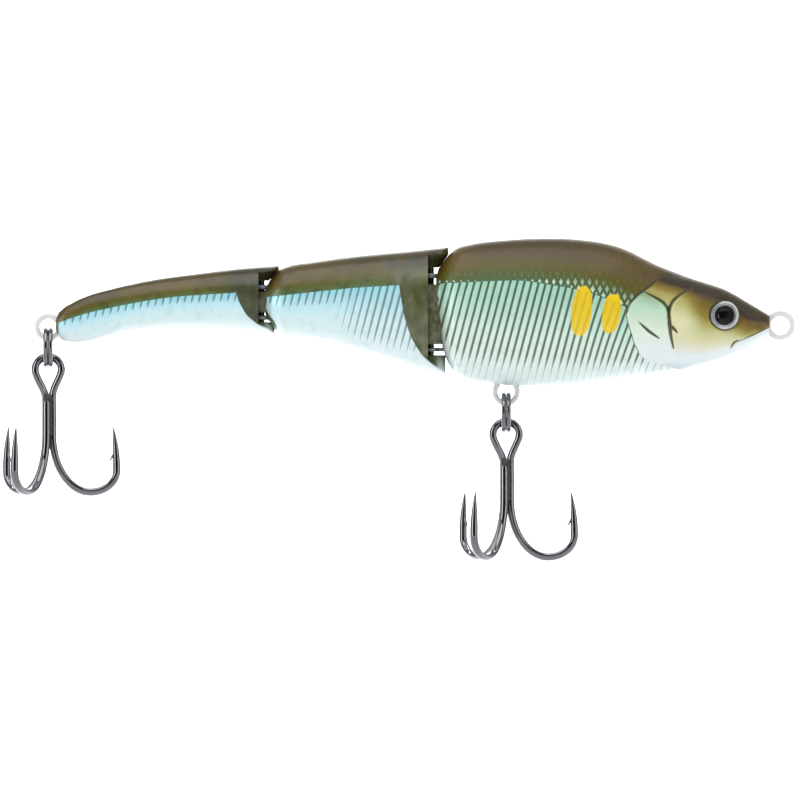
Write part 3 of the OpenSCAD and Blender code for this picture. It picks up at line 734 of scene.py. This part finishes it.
def make_stage():
    camera = bpy.data.objects.new("camera", bpy.data.cameras.new("camera"))
    bpy.context.collection.objects.link(camera)
    camera.data.lens, camera.data.sensor_width = LENS, SENSOR
    camera.data.clip_start, camera.data.clip_end = 0.01, 20
    away = VIEW_WIDTH * MM * LENS / SENSOR
    camera.location = (VIEW_CENTRE[0] * MM, -away, VIEW_CENTRE[1] * MM)
    camera.rotation_euler = (math.pi / 2, 0, 0)
    bpy.context.scene.camera = camera
    middle = Vector((VIEW_CENTRE[0], 0, 0)) * MM
    for name, (place, width, height, power, aim) in LAMPS.items():
        data = bpy.data.lights.new(name, "AREA")
        data.shape = "RECTANGLE"
        data.size, data.size_y, data.energy = width, height, power
        lamp = bpy.data.objects.new(name, data)
        lamp.location = middle + Vector(place)
        toward = middle + Vector(aim) - lamp.location
        lamp.rotation_euler = toward.to_track_quat("-Z", "Y").to_euler()
        bpy.context.collection.objects.link(lamp)

    # White studio all round, with one dark screen in front that only reflections show
    world = bpy.data.worlds.new("studio")
    bpy.context.scene.world = world
    world.use_nodes = True
    nodes, links = world.node_tree.nodes, world.node_tree.links
    place = nodes.new("ShaderNodeTexCoord")
    ahead = nodes.new("ShaderNodeVectorMath")
    ahead.operation = "DOT_PRODUCT"
    ahead.inputs[1].default_value = (0, -1, 0)
    level = nodes.new("ShaderNodeMapRange")
    for socket, value in zip(level.inputs[1:], SCREEN):
        socket.default_value = value
    links.new(place.outputs["Generated"], ahead.inputs[0])
    links.new(ahead.outputs["Value"], level.inputs[0])
    seen = nodes.new("ShaderNodeLightPath")
    strength = nodes.new("ShaderNodeMix")
    links.new(seen.outputs["Is Camera Ray"], strength.inputs[0])
    links.new(level.outputs[0], strength.inputs[2])
    strength.inputs[3].default_value = 1.0
    links.new(strength.outputs[0], nodes["Background"].inputs[1])
    nodes["Background"].inputs[0].default_value = (1, 1, 1, 1)

    # One curved sheet: the floor and the wall behind, clear when seen from its outer side
    bend = WALL_Y - SWEEP_R
    section = [(FLOOR_FRONT, FLOOR_Z), (bend, FLOOR_Z)]
    section += [(bend + SWEEP_R * math.sin(t), FLOOR_Z + SWEEP_R - SWEEP_R * math.cos(t))
                for t in np.linspace(0, math.pi / 2, 16)[1:]]
    section.append((WALL_Y, FLOOR_Z + WALL_RISE))
    rows = np.array([[(x, y, z) for y, z in section] for x in np.linspace(*FLOOR_X, 8)]) / MM
    floor = new_object("backdrop", rows.reshape(-1, 3), grid_faces(len(rows), len(section)))
    shade(floor)
    g = Graph("backdrop")
    inner_side = g.node("NewGeometry", out=6)  # the sheet's faces point outward
    g.set(Base_Color=g.mix(g.noise(0.004), (0.8, 0.8, 0.8, 1), (0.83, 0.83, 0.83, 1)),
          Roughness=0.9, Alpha=inner_side)
    floor.data.materials.append(g.mat)


# ---- Pieces ----
def finish_piece(obj, node, body, material):
    obj.data.materials.clear()
    obj.data.materials.append(material)
    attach(obj, body)
    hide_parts(node)


def both_sides(left, base, body, material):
    """Finishes a left-hand piece and its mirror twin."""
    right = mirrored(left, base + "_right_skin")
    left.name = base + "_left_skin"
    finish_piece(left, base + "_left", body, material)
    finish_piece(right, base + "_right", body, material)


def hanger_cut(obj, node):
    """Makes room for a hanger's ring and shank in a moulded half."""
    _, x, z, _, r, turn, shank = HANGERS[node]
    half, wide = HANGER_T / 2 + 0.01, SHANK_W / 2
    ring = lathe("hole", [(0, -half), (r + 0.01, -half), (r + 0.01, half), (0, half)], 64)
    boolean(obj, shift(ring, x=x, z=z, turn=Matrix.Rotation(math.pi / 2, 4, "X")))
    bar = block((0, -half, -wide), (shank, half, wide))
    boolean(obj, shift(bar, x=x, z=z, turn=Matrix.Rotation(math.radians(turn), 4, "Y")))


def eye_matrix():
    return (Matrix.Translation(Vector((EYE[0], 4.75, EYE[1])) * MM)
            @ Matrix.Rotation(math.radians(10), 4, "Z") @ Matrix.Rotation(math.radians(-81), 4, "X"))


def make_head():
    obj = half_solid("head", HEAD, spaced(*HEAD_SPAN, 400), np.linspace(0, 180, 150),
                     relief=head_relief)
    boolean(obj, keep_left(knuckle_solid(FRONT_PIN, FRONT_KNUCKLE)), "UNION")
    for a, b in HEAD_CHAMBERS:
        boolean(obj, chamber(HEAD, a, b))
    boolean(obj, slug_room(*HEAD_SLUG))
    seat = lathe("seat", [(0, -EYE_SUNK), (EYE_R, -EYE_SUNK), (EYE_R + 0.05, 5), (0, 5)])
    seat.data.transform(eye_matrix())
    boolean(obj, seat)
    cut_joint_rear(obj, FRONT_PIN, FRONT_LIPS, ["head_eyelet_upper", "head_eyelet_lower"])
    hanger_cut(obj, "line_tie")
    hanger_cut(obj, "belly_hanger")
    shade(obj)
    p = coords(obj)
    x, z = p[:, 0], p[:, 2]
    s = -x
    top = curve(HEAD_BACK, np.clip(s, *HEAD_SPAN))
    bottom = curve(HEAD_BELLY, np.clip(s, *HEAD_SPAN))
    lateral = along(LATERAL, s)
    over = z - lateral
    drop = (top - z) / (top - bottom)
    edge = gill_station(z) - s
    field(obj, "up", np.clip(over / np.maximum(top - lateral, 0.5), 0, 1))
    field(obj, "over", np.clip(over, -3, 9))
    field(obj, "rows", 1.0 + 2.3 * smooth(s, 46, 30))
    field(obj, "mesh", 0.19 + 0.17 * smooth(s, 34, 52))
    field(obj, "phase", rib_phase(x, z))
    field(obj, "under", np.minimum(-edge, s - 19))
    field(obj, "drop", np.clip(drop, 0, 1))
    golden = 0.26 * smooth(s, 12.5, 17.5) * smooth(drop, 0.11, 0.25)
    golden *= 1 - 0.8 * smooth(drop, 0.45, 0.75)
    shade_of = drop + golden - 0.2 * smooth(s, 10, 5) * smooth(drop, 0.95, 0.7)
    # Near the bottom the cheek follows the drop to its ramp's darker last stop, painted shade on the
    # underside.
    field(obj, "cheek", np.clip(np.minimum(shade_of, np.maximum(drop, 0.91)), 0, 1))
    field(obj, "snout", smooth(s, 7, 2.5) * smooth(drop, 0.8, 0.6))
    field(obj, "gill", np.clip(edge / (1 + 12 * smooth(z, 7.3, 9.3)), -3, 3))
    field(obj, "plate", np.clip(np.minimum(s - along(STEM, z), edge), -3, 3))
    field(obj, "jaw", np.clip(along(MOUTH_LINE, s) - z, -3, 3))
    lines = np.full(len(p), 3.0)
    for width, line in STROKES + MOUTH:
        lines = np.minimum(lines, distance_to(line, x, z, width))
    field(obj, "lines", lines)
    # The ring round the eye is painted shade in the socket's gap; upper is the dark line along the
    # gill edge.
    rim = np.abs(np.hypot(x - EYE[0], z - EYE[1]) - 2.62) - 0.16
    upper = np.abs(edge) - np.where(z > 2.2, 0.32, 0.1)
    upper = upper + 2 * smooth(z, 7.6, 9.2) + 2 * smooth(z, -4.5, -6.5)
    field(obj, "rim", np.minimum(rim, upper))
    field(obj, "spot", spot_value(x, z))
    rear = along([(-12, 58.6), (-8, 57.6), (-5, 59), (-3, 59.25), (7.4, 59.9), (8.8, 60.6),
                  (14, 60.6)], z)
    on_knuckle = np.hypot(x + FRONT_PIN, p[:, 1]) < 4.32
    smoke = np.where((s > rear) | (on_knuckle & (s > 59.4) & (z < 7.3)), 1.0, 0.0)
    field(obj, "smoke", smoke)
    both_sides(obj, "head_shell", "head", head_material())


MIDDLE_CRESCENT = [(-8.2, 58.5), (-7.05, 60.6), (-5.7, 62.3), (-3.3, 64.1), (1, 65.8),
                   (5.2, 66.6), (7, 66.9)]
TAIL_CRESCENT = [(-1.14, 88.95), (-0.4, 90.2), (0.22, 91.66), (0.83, 92.5), (1.7, 93.5), (2.56, 94.1),
                 (3.67, 94.7), (4.53, 95.1), (5.64, 95.4)]
MIDDLE_FOIL_TOP = [(58, 7.3), (66.9, 7), (73.9, 6.6), (79.4, 6.1), (85, 5.5), (90.6, 4.9)]
TAIL_FOIL_TOP = [(88, 6.1), (95.8, 5.7), (100.6, 5.4), (106.2, 5), (111.8, 4.2), (117.4, 3.1),
                 (121.3, 2.2), (124.9, 1.1), (127.2, 0.2)]


def make_segment(name, shape, span, front, rear, chamber_span, slug, body, foil_top, moon):
    """One jointed segment's shell; rear is None on the tail."""
    obj = half_solid(name, shape, spaced(*span, 200), np.linspace(0, 180, 90))
    cut_joint_front(obj, *front)
    if rear:
        s, lips, knuckle, names = rear
        boolean(obj, keep_left(knuckle_solid(s, knuckle)), "UNION")
        cut_joint_rear(obj, s, lips, names)
    else:
        hanger_cut(obj, "tail_hanger")
    boolean(obj, chamber(shape, *chamber_span))
    boolean(obj, slug_room(*slug))
    shade(obj)
    p = coords(obj)
    x, z = p[:, 0], p[:, 2]
    s = -x
    low, high = span
    top = curve(shape[0], np.clip(s, low + 0.2, high))
    line = along(foil_top, s)
    field(obj, "up", np.clip((z - line) / np.maximum(top - line, 0.5), 0, 1))
    moon_s = along(moon, z)
    lip_top = front[1][2][1]
    above = smooth(moon_s - s + 0.35 * (z - line), -2.5, 0.5) * smooth(z - top, 0.3, -0.6)
    cup = np.where(z < line, smooth(moon_s - s, -0.5, 0.0), above)
    field(obj, "smoke", np.maximum(cup, smooth(s, high - 1.5, high - 0.6) if rear else 0 * s))
    # lip: where the lower lip's painted shade goes, below the lower lip's top and ahead of the
    # crescent.
    field(obj, "lip", smooth(z, lip_top + 0.6, lip_top - 0.6) * smooth(moon_s - s, 0, 0.3))
    bottom = curve(shape[1], np.clip(s, low + 0.2, high))
    pale = smooth(s - moon_s, 0, 0.6) * smooth(z - bottom, 0.7, 0.4)
    field(obj, "pale", pale * smooth(s, high - 1.6, high - 2.2))
    plastic = segment_material(name + "_plastic", 0.0 if rear else 0.4)
    both_sides(obj, name, body, plastic)


def make_foil(base, shape, body, top_line, front_of, rear_of, rear_limit, belly_end, size, ribs,
              material, spots=False):
    """A thin sheet over the flank; its front edge follows a line drawn by height."""
    rows, cols = size
    u = np.linspace(0, 1, rows)[:, None]
    belly = 178.0

    def row_angle(s):
        a0 = angle_at(shape, s, curve(top_line, s))
        return a0 + (belly - a0) * u

    def edge(of, s):
        for _ in range(12):
            s = 0.5 * s + 0.5 * of(skin(shape, s, row_angle(s))[..., 2])
        return s

    f = edge(front_of, np.full((rows, 1), front_of(0.0)))
    r = edge(rear_of, np.full((rows, 1), rear_of(0.0)))
    r = np.minimum(r, belly_end + 4 * smooth(u, 0.93, 0.72))
    s = f + (r - f) * np.linspace(0, 1, cols)[None, :]
    a = row_angle(s)
    flat = skin(shape, s, a)
    phase = rib_phase(flat[..., 0], flat[..., 2])
    down = np.broadcast_to(u, s.shape)
    strength = ribs(-flat[..., 0], flat[..., 2], down)
    groove = np.exp(-((phase % 1 - 0.5) / 0.17) ** 2)
    border = np.minimum(np.minimum(down, 1 - down) * 12, np.minimum(s - f, r - s) / 0.4)
    d = FOIL_OUT - RIB_DEPTH * groove * strength - RIB_DEPTH * (1 - smooth(border, 0, 1))
    d = np.minimum(d, FLUSH + (FOIL_OUT - FLUSH) * smooth(rear_limit - s, 0, 1.5))
    outer, inner = skin(shape, s, a, d), skin(shape, s, a, FOIL_IN)
    rings = np.concatenate([outer, inner[:, ::-1]], axis=1)
    obj = outward(tube(base, rings))
    fields = {"down": down, "phase": phase, "ribs": strength}
    if spots:
        fields["spot"] = spot_value(flat[..., 0], flat[..., 2])
    for name, grid in fields.items():
        field(obj, name, np.concatenate([grid, grid[:, ::-1]], axis=1).reshape(-1))
    shade(obj, 50)
    both_sides(obj, base, body, material)


def make_foils():
    lines = [(0.0, (76, 100, 84)), (0.3, (84, 106, 96)), (0.5, (98, 116, 110)),
             (0.6, (150, 168, 165)), (0.7, (188, 204, 204)), (1.0, (206, 220, 222))]
    # The last stops, darker from about three quarters of the way down, are painted shade on the
    # underside.
    head = foil_material("head_foil", [
        (0.0, (158, 210, 190)), (0.14, (182, 226, 208)), (0.35, (212, 236, 221)),
        (0.6, (222, 237, 231)), (0.76, (216, 230, 231)), (0.88, (200, 215, 219)),
        (1.0, (140, 156, 164))], lines, 0.95, spots=True)
    notches = [(-10, 55), (-8, 56.4), (-6, 57.9), (-3.4, 59.0), (-1.2, 59.6), (1.5, 59.95),
               (4.6, 60.05), (7.4, 60.05)]

    def scalloped(z):
        lobe = np.abs(np.sin(np.pi * (z - 4.6) / 2.8))
        return along(notches, z) + (0.55 * lobe - 0.2) * smooth(z, -5.5, -4)

    def front_edge(z):
        return np.where(z < -5.8, 23.9, gill_station(z)) + 0.05

    make_foil("head_foil", HEAD, "head", LATERAL, front_edge, scalloped, 59, 57.9, (150, 330),
              lambda s, z, v: 0.22 + 0.78 * smooth(v, 0.66, 0.5), head, True)
    # The last stops, darker towards the belly, are painted shade on the underside.
    blue = [(0.0, (148, 212, 226)), (0.1, (178, 226, 238)), (0.35, (206, 234, 242)),
            (0.65, (218, 236, 240)), (0.82, (206, 221, 224)), (1.0, (134, 150, 158))]
    middle = foil_material("middle_foil", blue, lines, 0.7)
    make_foil("middle_foil", MIDDLE, "middle", MIDDLE_FOIL_TOP,
              lambda z: along(MIDDLE_CRESCENT, z),
              lambda z: along([(-1.6, 87.6), (-0.6, 88.2), (0.4, 88.6), (1, 89), (1.6, 89.7),
                               (4.9, 90.1)], z),
              88.8, 88.2, (90, 180),
              lambda s, z, v: np.maximum(smooth(s, 80, 69) * smooth(v, 0.75, 0.35),
                                         0.8 * smooth(v, 0.2, 0.07)), middle)
    tail = foil_material("tail_foil", blue, lines, 0.65)
    make_foil("tail_foil", TAIL, "tail", TAIL_FOIL_TOP,
              lambda z: along(TAIL_CRESCENT, z),
              lambda z: 126.7 + 0 * z, 200, 200, (70, 200),
              lambda s, z, v: 0.9 * smooth(v, 0.17, 0.05), tail)


def make_eyes():
    disc = lathe("eye", [(0, 0), (EYE_R, 0), (EYE_R, 0.62), (2.42, 0.72), (2.26, 0.72), (2.14, 0.58),
                         (2.04, 0.6), (1.92, 0.5), (1.82, 0.36), (0, 0.3)])
    disc.data.transform(Matrix.Translation((0, 0, -EYE_SUNK * MM)))
    shade(disc, 60)
    co = coords(disc)
    field(disc, "radius", np.hypot(co[:, 0], co[:, 1]))
    disc.data.transform(eye_matrix())
    both_sides(disc, "eye", "head", iris_material())
    high, foot = 1.08, 0.52
    ball = (EYE_R ** 2 + high ** 2) / (2 * high)
    arc = math.asin(EYE_R * 0.99 / ball)
    cap = [(ball * math.sin(t), foot + high - ball + ball * math.cos(t))
           for t in np.linspace(0, arc, 24)]
    cap = [(r, max(z, 0.78)) for r, z in cap]
    floor = [(2.46, 0.76), (2.26, 0.76), (2.1, 0.66), (1.9, 0.54), (1.8, 0.4), (0, 0.34)]
    dome = lathe("dome", cap + floor)
    dome.data.transform(eye_matrix() @ Matrix.Translation((0, 0, -EYE_SUNK * MM)))
    shade(dome, 50)
    both_sides(dome, "eye_dome", "head", resin_material())


# ---- Metal ----
HOOK_R = 0.69
SHANK_OFF = 0.76
BEND_FROM, BEND_LOW, BEND_RHO = -12.1, -22.2, 7.4
POINT_RHO, POINT_FOOT = 12.05, -18.5
TIP = (11.35, -10.3)
TREBLE_TURN = 4.6
REACH = 1.1
EYE_TOP = 1.6
EYE_ARC = 2.3
RING_DROP = 3.6
HOOK_DROP = 3.175
RING_D, COIL_W, COIL_H, COIL_STEP = 7.15, 0.82, 0.8, 0.86


def cos_deg(a):
    return math.cos(math.radians(a))


def sin_deg(a):
    return math.sin(math.radians(a))


def sweep(name, points, sizes, first_normal, sides=20, power=2.0):
    """A wire through points; sizes gives its half thickness along the normal and across it."""
    p = np.asarray(points, float)
    t = np.gradient(p, axis=0)
    t /= np.linalg.norm(t, axis=1)[:, None]
    n = np.asarray(first_normal, float)
    rings = []
    angles = np.linspace(0, 2 * math.pi, sides, endpoint=False)
    c = np.sign(np.cos(angles)) * np.abs(np.cos(angles)) ** (2 / power)
    k = np.sign(np.sin(angles)) * np.abs(np.sin(angles)) ** (2 / power)
    for i in range(len(p)):
        n = n - (n @ t[i]) * t[i]
        n /= np.linalg.norm(n)
        b = np.cross(t[i], n)
        rings.append(p[i] + sizes[i][0] * c[:, None] * n + sizes[i][1] * k[:, None] * b)
    return outward(tube(name, rings))


def hook_line(reach):
    """Side profile of one hook: distance from the shank's axis, height, wire size both ways."""
    rows = []
    for a in np.linspace(0, 90, 26, endpoint=False):
        flat = smooth(a, 40, 85)
        rows.append((SHANK_OFF + (BEND_RHO - SHANK_OFF) * reach * (1 - cos_deg(a)),
                     BEND_FROM + (BEND_LOW - BEND_FROM) * sin_deg(a),
                     HOOK_R * (1 - 0.14 * flat), HOOK_R * (1 + 0.1 * flat)))
    for a in np.linspace(0, 90, 22, endpoint=False):
        flat = 1 - smooth(a, 60, 90)
        rows.append((reach * (BEND_RHO + (POINT_RHO - BEND_RHO) * sin_deg(a)),
                     POINT_FOOT + (BEND_LOW - POINT_FOOT) * cos_deg(a),
                     HOOK_R * (1 - 0.14 * flat), HOOK_R * (1 + 0.1 * flat)))
    for t in np.linspace(0, 1, 26):
        size = max(0.03, HOOK_R * (1 - t ** 2.2))
        rows.append((reach * POINT_RHO + (TIP[0] - POINT_RHO) * t * t,
                     POINT_FOOT + (TIP[1] - POINT_FOOT) * t, size, size))
    return np.array(rows)


def across(phi):
    """The level direction at right angles to direction phi."""
    return -sin_deg(phi), cos_deg(phi), 0


def around(rho, z, phi):
    return np.stack([rho * cos_deg(phi), rho * sin_deg(phi), z + 0 * rho], -1)


def barb(phi, reach):
    """A thin curved splinter raised from the inside of the point."""
    shift_out = (reach - 1) * POINT_RHO
    spine = [(11.75, -14.9, 0.05), (11.5, -15.5, 0.2), (11.25, -16.0, 0.2), (10.98, -16.5, 0.15),
             (10.65, -16.95, 0.03)]
    pts = np.array([around(np.array(r + shift_out), z, phi) for r, z, _ in spine])
    sizes = [(0.26 if i else 0.3, w) for i, (_, _, w) in enumerate(spine)]
    sizes[-1] = (0.04, 0.03)
    return sweep("barb", pts, sizes, across(phi), 10)


def join(objects):
    """Joins meshes into the first of them."""
    bm = bmesh.new()
    for obj in objects:
        bm.from_mesh(obj.data)
    bm.to_mesh(objects[0].data)
    bm.free()
    for obj in objects[1:]:
        bpy.data.objects.remove(obj)
    return objects[0]


def rounded(points, steps=8):
    """A smooth path through points."""
    p = np.array(points, float)
    k = np.arange(len(p))
    t = np.linspace(0, len(p) - 1, steps * (len(p) - 1) + 1)
    return np.stack([curve(np.stack([k, p[:, i]], 1), t) for i in range(3)], -1)


def make_treble(name, body, s, z, metal):
    front, far, near = TREBLE_TURN, TREBLE_TURN + 120, TREBLE_TURN - 120
    hooks = {phi: hook_line(1 if phi == front else REACH) for phi in (front, far, near)}

    def hook_points(phi):
        return around(hooks[phi][:, 0], hooks[phi][:, 1], phi), hooks[phi][:, 2:]

    a, b = around(np.array(SHANK_OFF), 0, far), around(np.array(SHANK_OFF), 0, front)
    arc_z = EYE_TOP - EYE_ARC
    loop = [(a[0], a[1], -11.5), (a[0], a[1], -9), (a[0], a[1], -6.4),
            (a[0] - 0.08, a[1] - 0.1, -5.3), (-0.95, 0.25, -4.05), (-1.62, 0.06, -2.75)]
    loop += [(EYE_ARC * cos_deg(t), 0, arc_z + EYE_ARC * sin_deg(t)) for t in range(200, -21, -20)]
    loop += [(1.62, 0, -2.75), (1.05, 0.02, -4.05), (b[0], b[1], -5.4), (b[0], b[1], -8.5),
             (b[0], b[1], -11.5)]
    loop = rounded(loop)
    p1, w1 = hook_points(far)
    p2, w2 = hook_points(front)
    points = np.concatenate([p1[::-1], loop, p2])
    sizes = np.concatenate([w1[::-1], np.full((len(loop), 2), HOOK_R), w2])
    wire = sweep(name + "_double_wire", points, sizes[:, ::-1], across(far))
    double = join([wire, barb(far, REACH), barb(front, 1)])
    p3, w3 = hook_points(near)
    top = around(np.full(12, SHANK_OFF), np.linspace(-6.1, -12.4, 12), near)
    top_w = np.full((12, 2), HOOK_R)
    top_w[0] *= 0.72
    single = sweep(name + "_single_wire", np.concatenate([top, p3]),
                   np.concatenate([top_w, w3])[:, ::-1], across(near))
    # Braze metal runs down the middle and fills the corners between the three shanks
    heights = np.linspace(-4.9, -12.4, 34)
    ripple = 1 + 0.06 * np.sin(heights * 5.1) + 0.04 * np.sin(heights * 11.3)
    round_top = np.sqrt(np.clip(1 - ((heights + 6) / 1.3) ** 2 * (heights > -6), 0.05, 1))
    thick = ripple * 0.9 * smooth(heights, -13.0, -11.8)
    fill = sweep("braze", np.stack([0 * heights + 0.1, 0 * heights, heights], -1),
                 np.stack([thick, ripple * 0.98 * round_top], -1), (1, 0, 0), 24)
    fill_size = len(fill.data.vertices)
    single = join([single, barb(near, REACH), fill])
    count = len(single.data.vertices)
    field(single, "braze", np.where(np.arange(count) >= count - fill_size, 1.0, 0.0))
    for obj, node in ((double, name + "_double"), (single, name + "_single")):
        shift(obj, x=-s, z=z)
        shade(obj, 50)
        finish_piece(obj, node, body, metal)


def make_split_ring(node, body, s, z, metal):
    start, crossing, n = 35, 30, 260
    mean_r = (RING_D - COIL_H) / 2
    a = np.linspace(start, 720 - start, n)
    t = smooth(a, 360 - crossing, 360 + crossing)
    x = COIL_STEP * (t - 0.5)
    rad = np.radians(a)
    points = np.stack([x, mean_r * np.cos(rad), mean_r * np.sin(rad)], -1)
    sizes = np.tile([COIL_W / 2, COIL_H / 2], (n, 1))
    sizes[0] *= 0.8
    sizes[-1] *= 0.8
    obj = sweep(node + "_wire", points, sizes, (1, 0, 0), 24, power=2.5)
    shift(obj, x=-s, z=z)
    shade(obj, 50)
    finish_piece(obj, node, body, metal)


def ring_profile(inner, outer, t, edge):
    """Section of a flat ring with well-rounded edges."""
    centre, half_w, half_t = (inner + outer) / 2, (outer - inner) / 2, t / 2
    pts = []
    for k in range(48):
        a = 2 * math.pi * k / 48
        c, d = math.cos(a), math.sin(a)
        pts.append((centre + half_w * math.copysign(abs(c) ** edge, c),
                    half_t * math.copysign(abs(d) ** edge, d)))
    return pts


def shank_bar(start, end, wide, thick, normal):
    """A flat bar along X, given by its half width and half thickness."""
    length = np.linspace(start, end, 8)
    line = np.stack([length, 0 * length, 0 * length], -1)
    return sweep("shank", line, np.tile([wide, thick], (8, 1)), normal, 24, power=4)


def make_hanger(node, metal):
    body, x, z, inner, outer, turn, shank = HANGERS[node]
    ring = lathe(node + "_ring", ring_profile(inner, outer, HANGER_T, 0.62))
    ring.data.transform(Matrix.Rotation(math.pi / 2, 4, "X"))
    bar = shank_bar(inner + 0.4, shank - 0.05, SHANK_W / 2 - 0.01, HANGER_T / 2 - 0.01, (0, 0, 1))
    bar.data.transform(Matrix.Rotation(math.radians(turn), 4, "Y"))
    obj = shift(join([ring, bar]), x=x, z=z)
    shade(obj, 40)
    finish_piece(obj, node, body, metal)


def make_eyelet(node, body, metal):
    s, z, t, reach = EYELETS[node]
    ring = lathe(node + "_ring", ring_profile(EYELET_HOLE, EYELET_R - 0.01, t * 0.98, 0.6))
    bar = shank_bar(1.1, reach - 0.05, 0.78, t * 0.48, (0, 1, 0))
    obj = shift(join([ring, bar]), x=-s, z=z)
    shade(obj, 40)
    finish_piece(obj, node, body, metal)


def dress(node, material):
    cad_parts[node].data.materials.clear()
    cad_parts[node].data.materials.append(material)


def make_metal():
    black = metal_material("black_nickel", (134, 134, 138), (118, 118, 122), 0.05, 1.0, True)
    steel = metal_material("stainless", (238, 239, 238), (222, 224, 222), 0.32, 0.2)
    pins = metal_material("pin_steel", (128, 128, 126), (92, 92, 90), 0.25)
    eyelets = metal_material("eyelet_steel", (186, 198, 202), (150, 160, 164), 0.25, 0.5)
    for end in ("belly", "tail"):
        _, x, z, *_ = HANGERS[end + "_hanger"]
        make_split_ring(end + "_split_ring", end + "_ring", -x, z - RING_DROP, black)
        make_treble(end + "_treble", end + "_treble", -x, z - RING_DROP - HOOK_DROP, black)
    for node in HANGERS:
        make_hanger(node, steel)
    for node in EYELETS:
        make_eyelet(node, node.split("_")[0], eyelets)
    for node in ("front_joint_pin", "rear_joint_pin"):
        dress(node, pins)
    slug = metal_material("ballast", (120, 120, 122), (84, 84, 88), 0.5)
    for node in ("head_ballast", "middle_ballast", "tail_ballast"):
        dress(node, slug)


make_stage()
make_head()
make_segment("middle_shell", MIDDLE, MIDDLE_SPAN, (FRONT_PIN, FRONT_LIPS, FRONT_KNUCKLE),
             (REAR_PIN, REAR_LIPS, REAR_KNUCKLE, ["middle_eyelet_upper", "middle_eyelet_lower"]),
             MIDDLE_CHAMBER, MIDDLE_SLUG, "middle", MIDDLE_FOIL_TOP, MIDDLE_CRESCENT)
make_segment("tail_shell", TAIL, TAIL_SPAN, (REAR_PIN, REAR_LIPS, REAR_KNUCKLE), None,
             TAIL_CHAMBER, TAIL_SLUG, "tail", TAIL_FOIL_TOP, TAIL_CRESCENT)
make_foils()
make_eyes()
make_metal()
bpy.context.scene.view_settings.view_transform = "Standard"
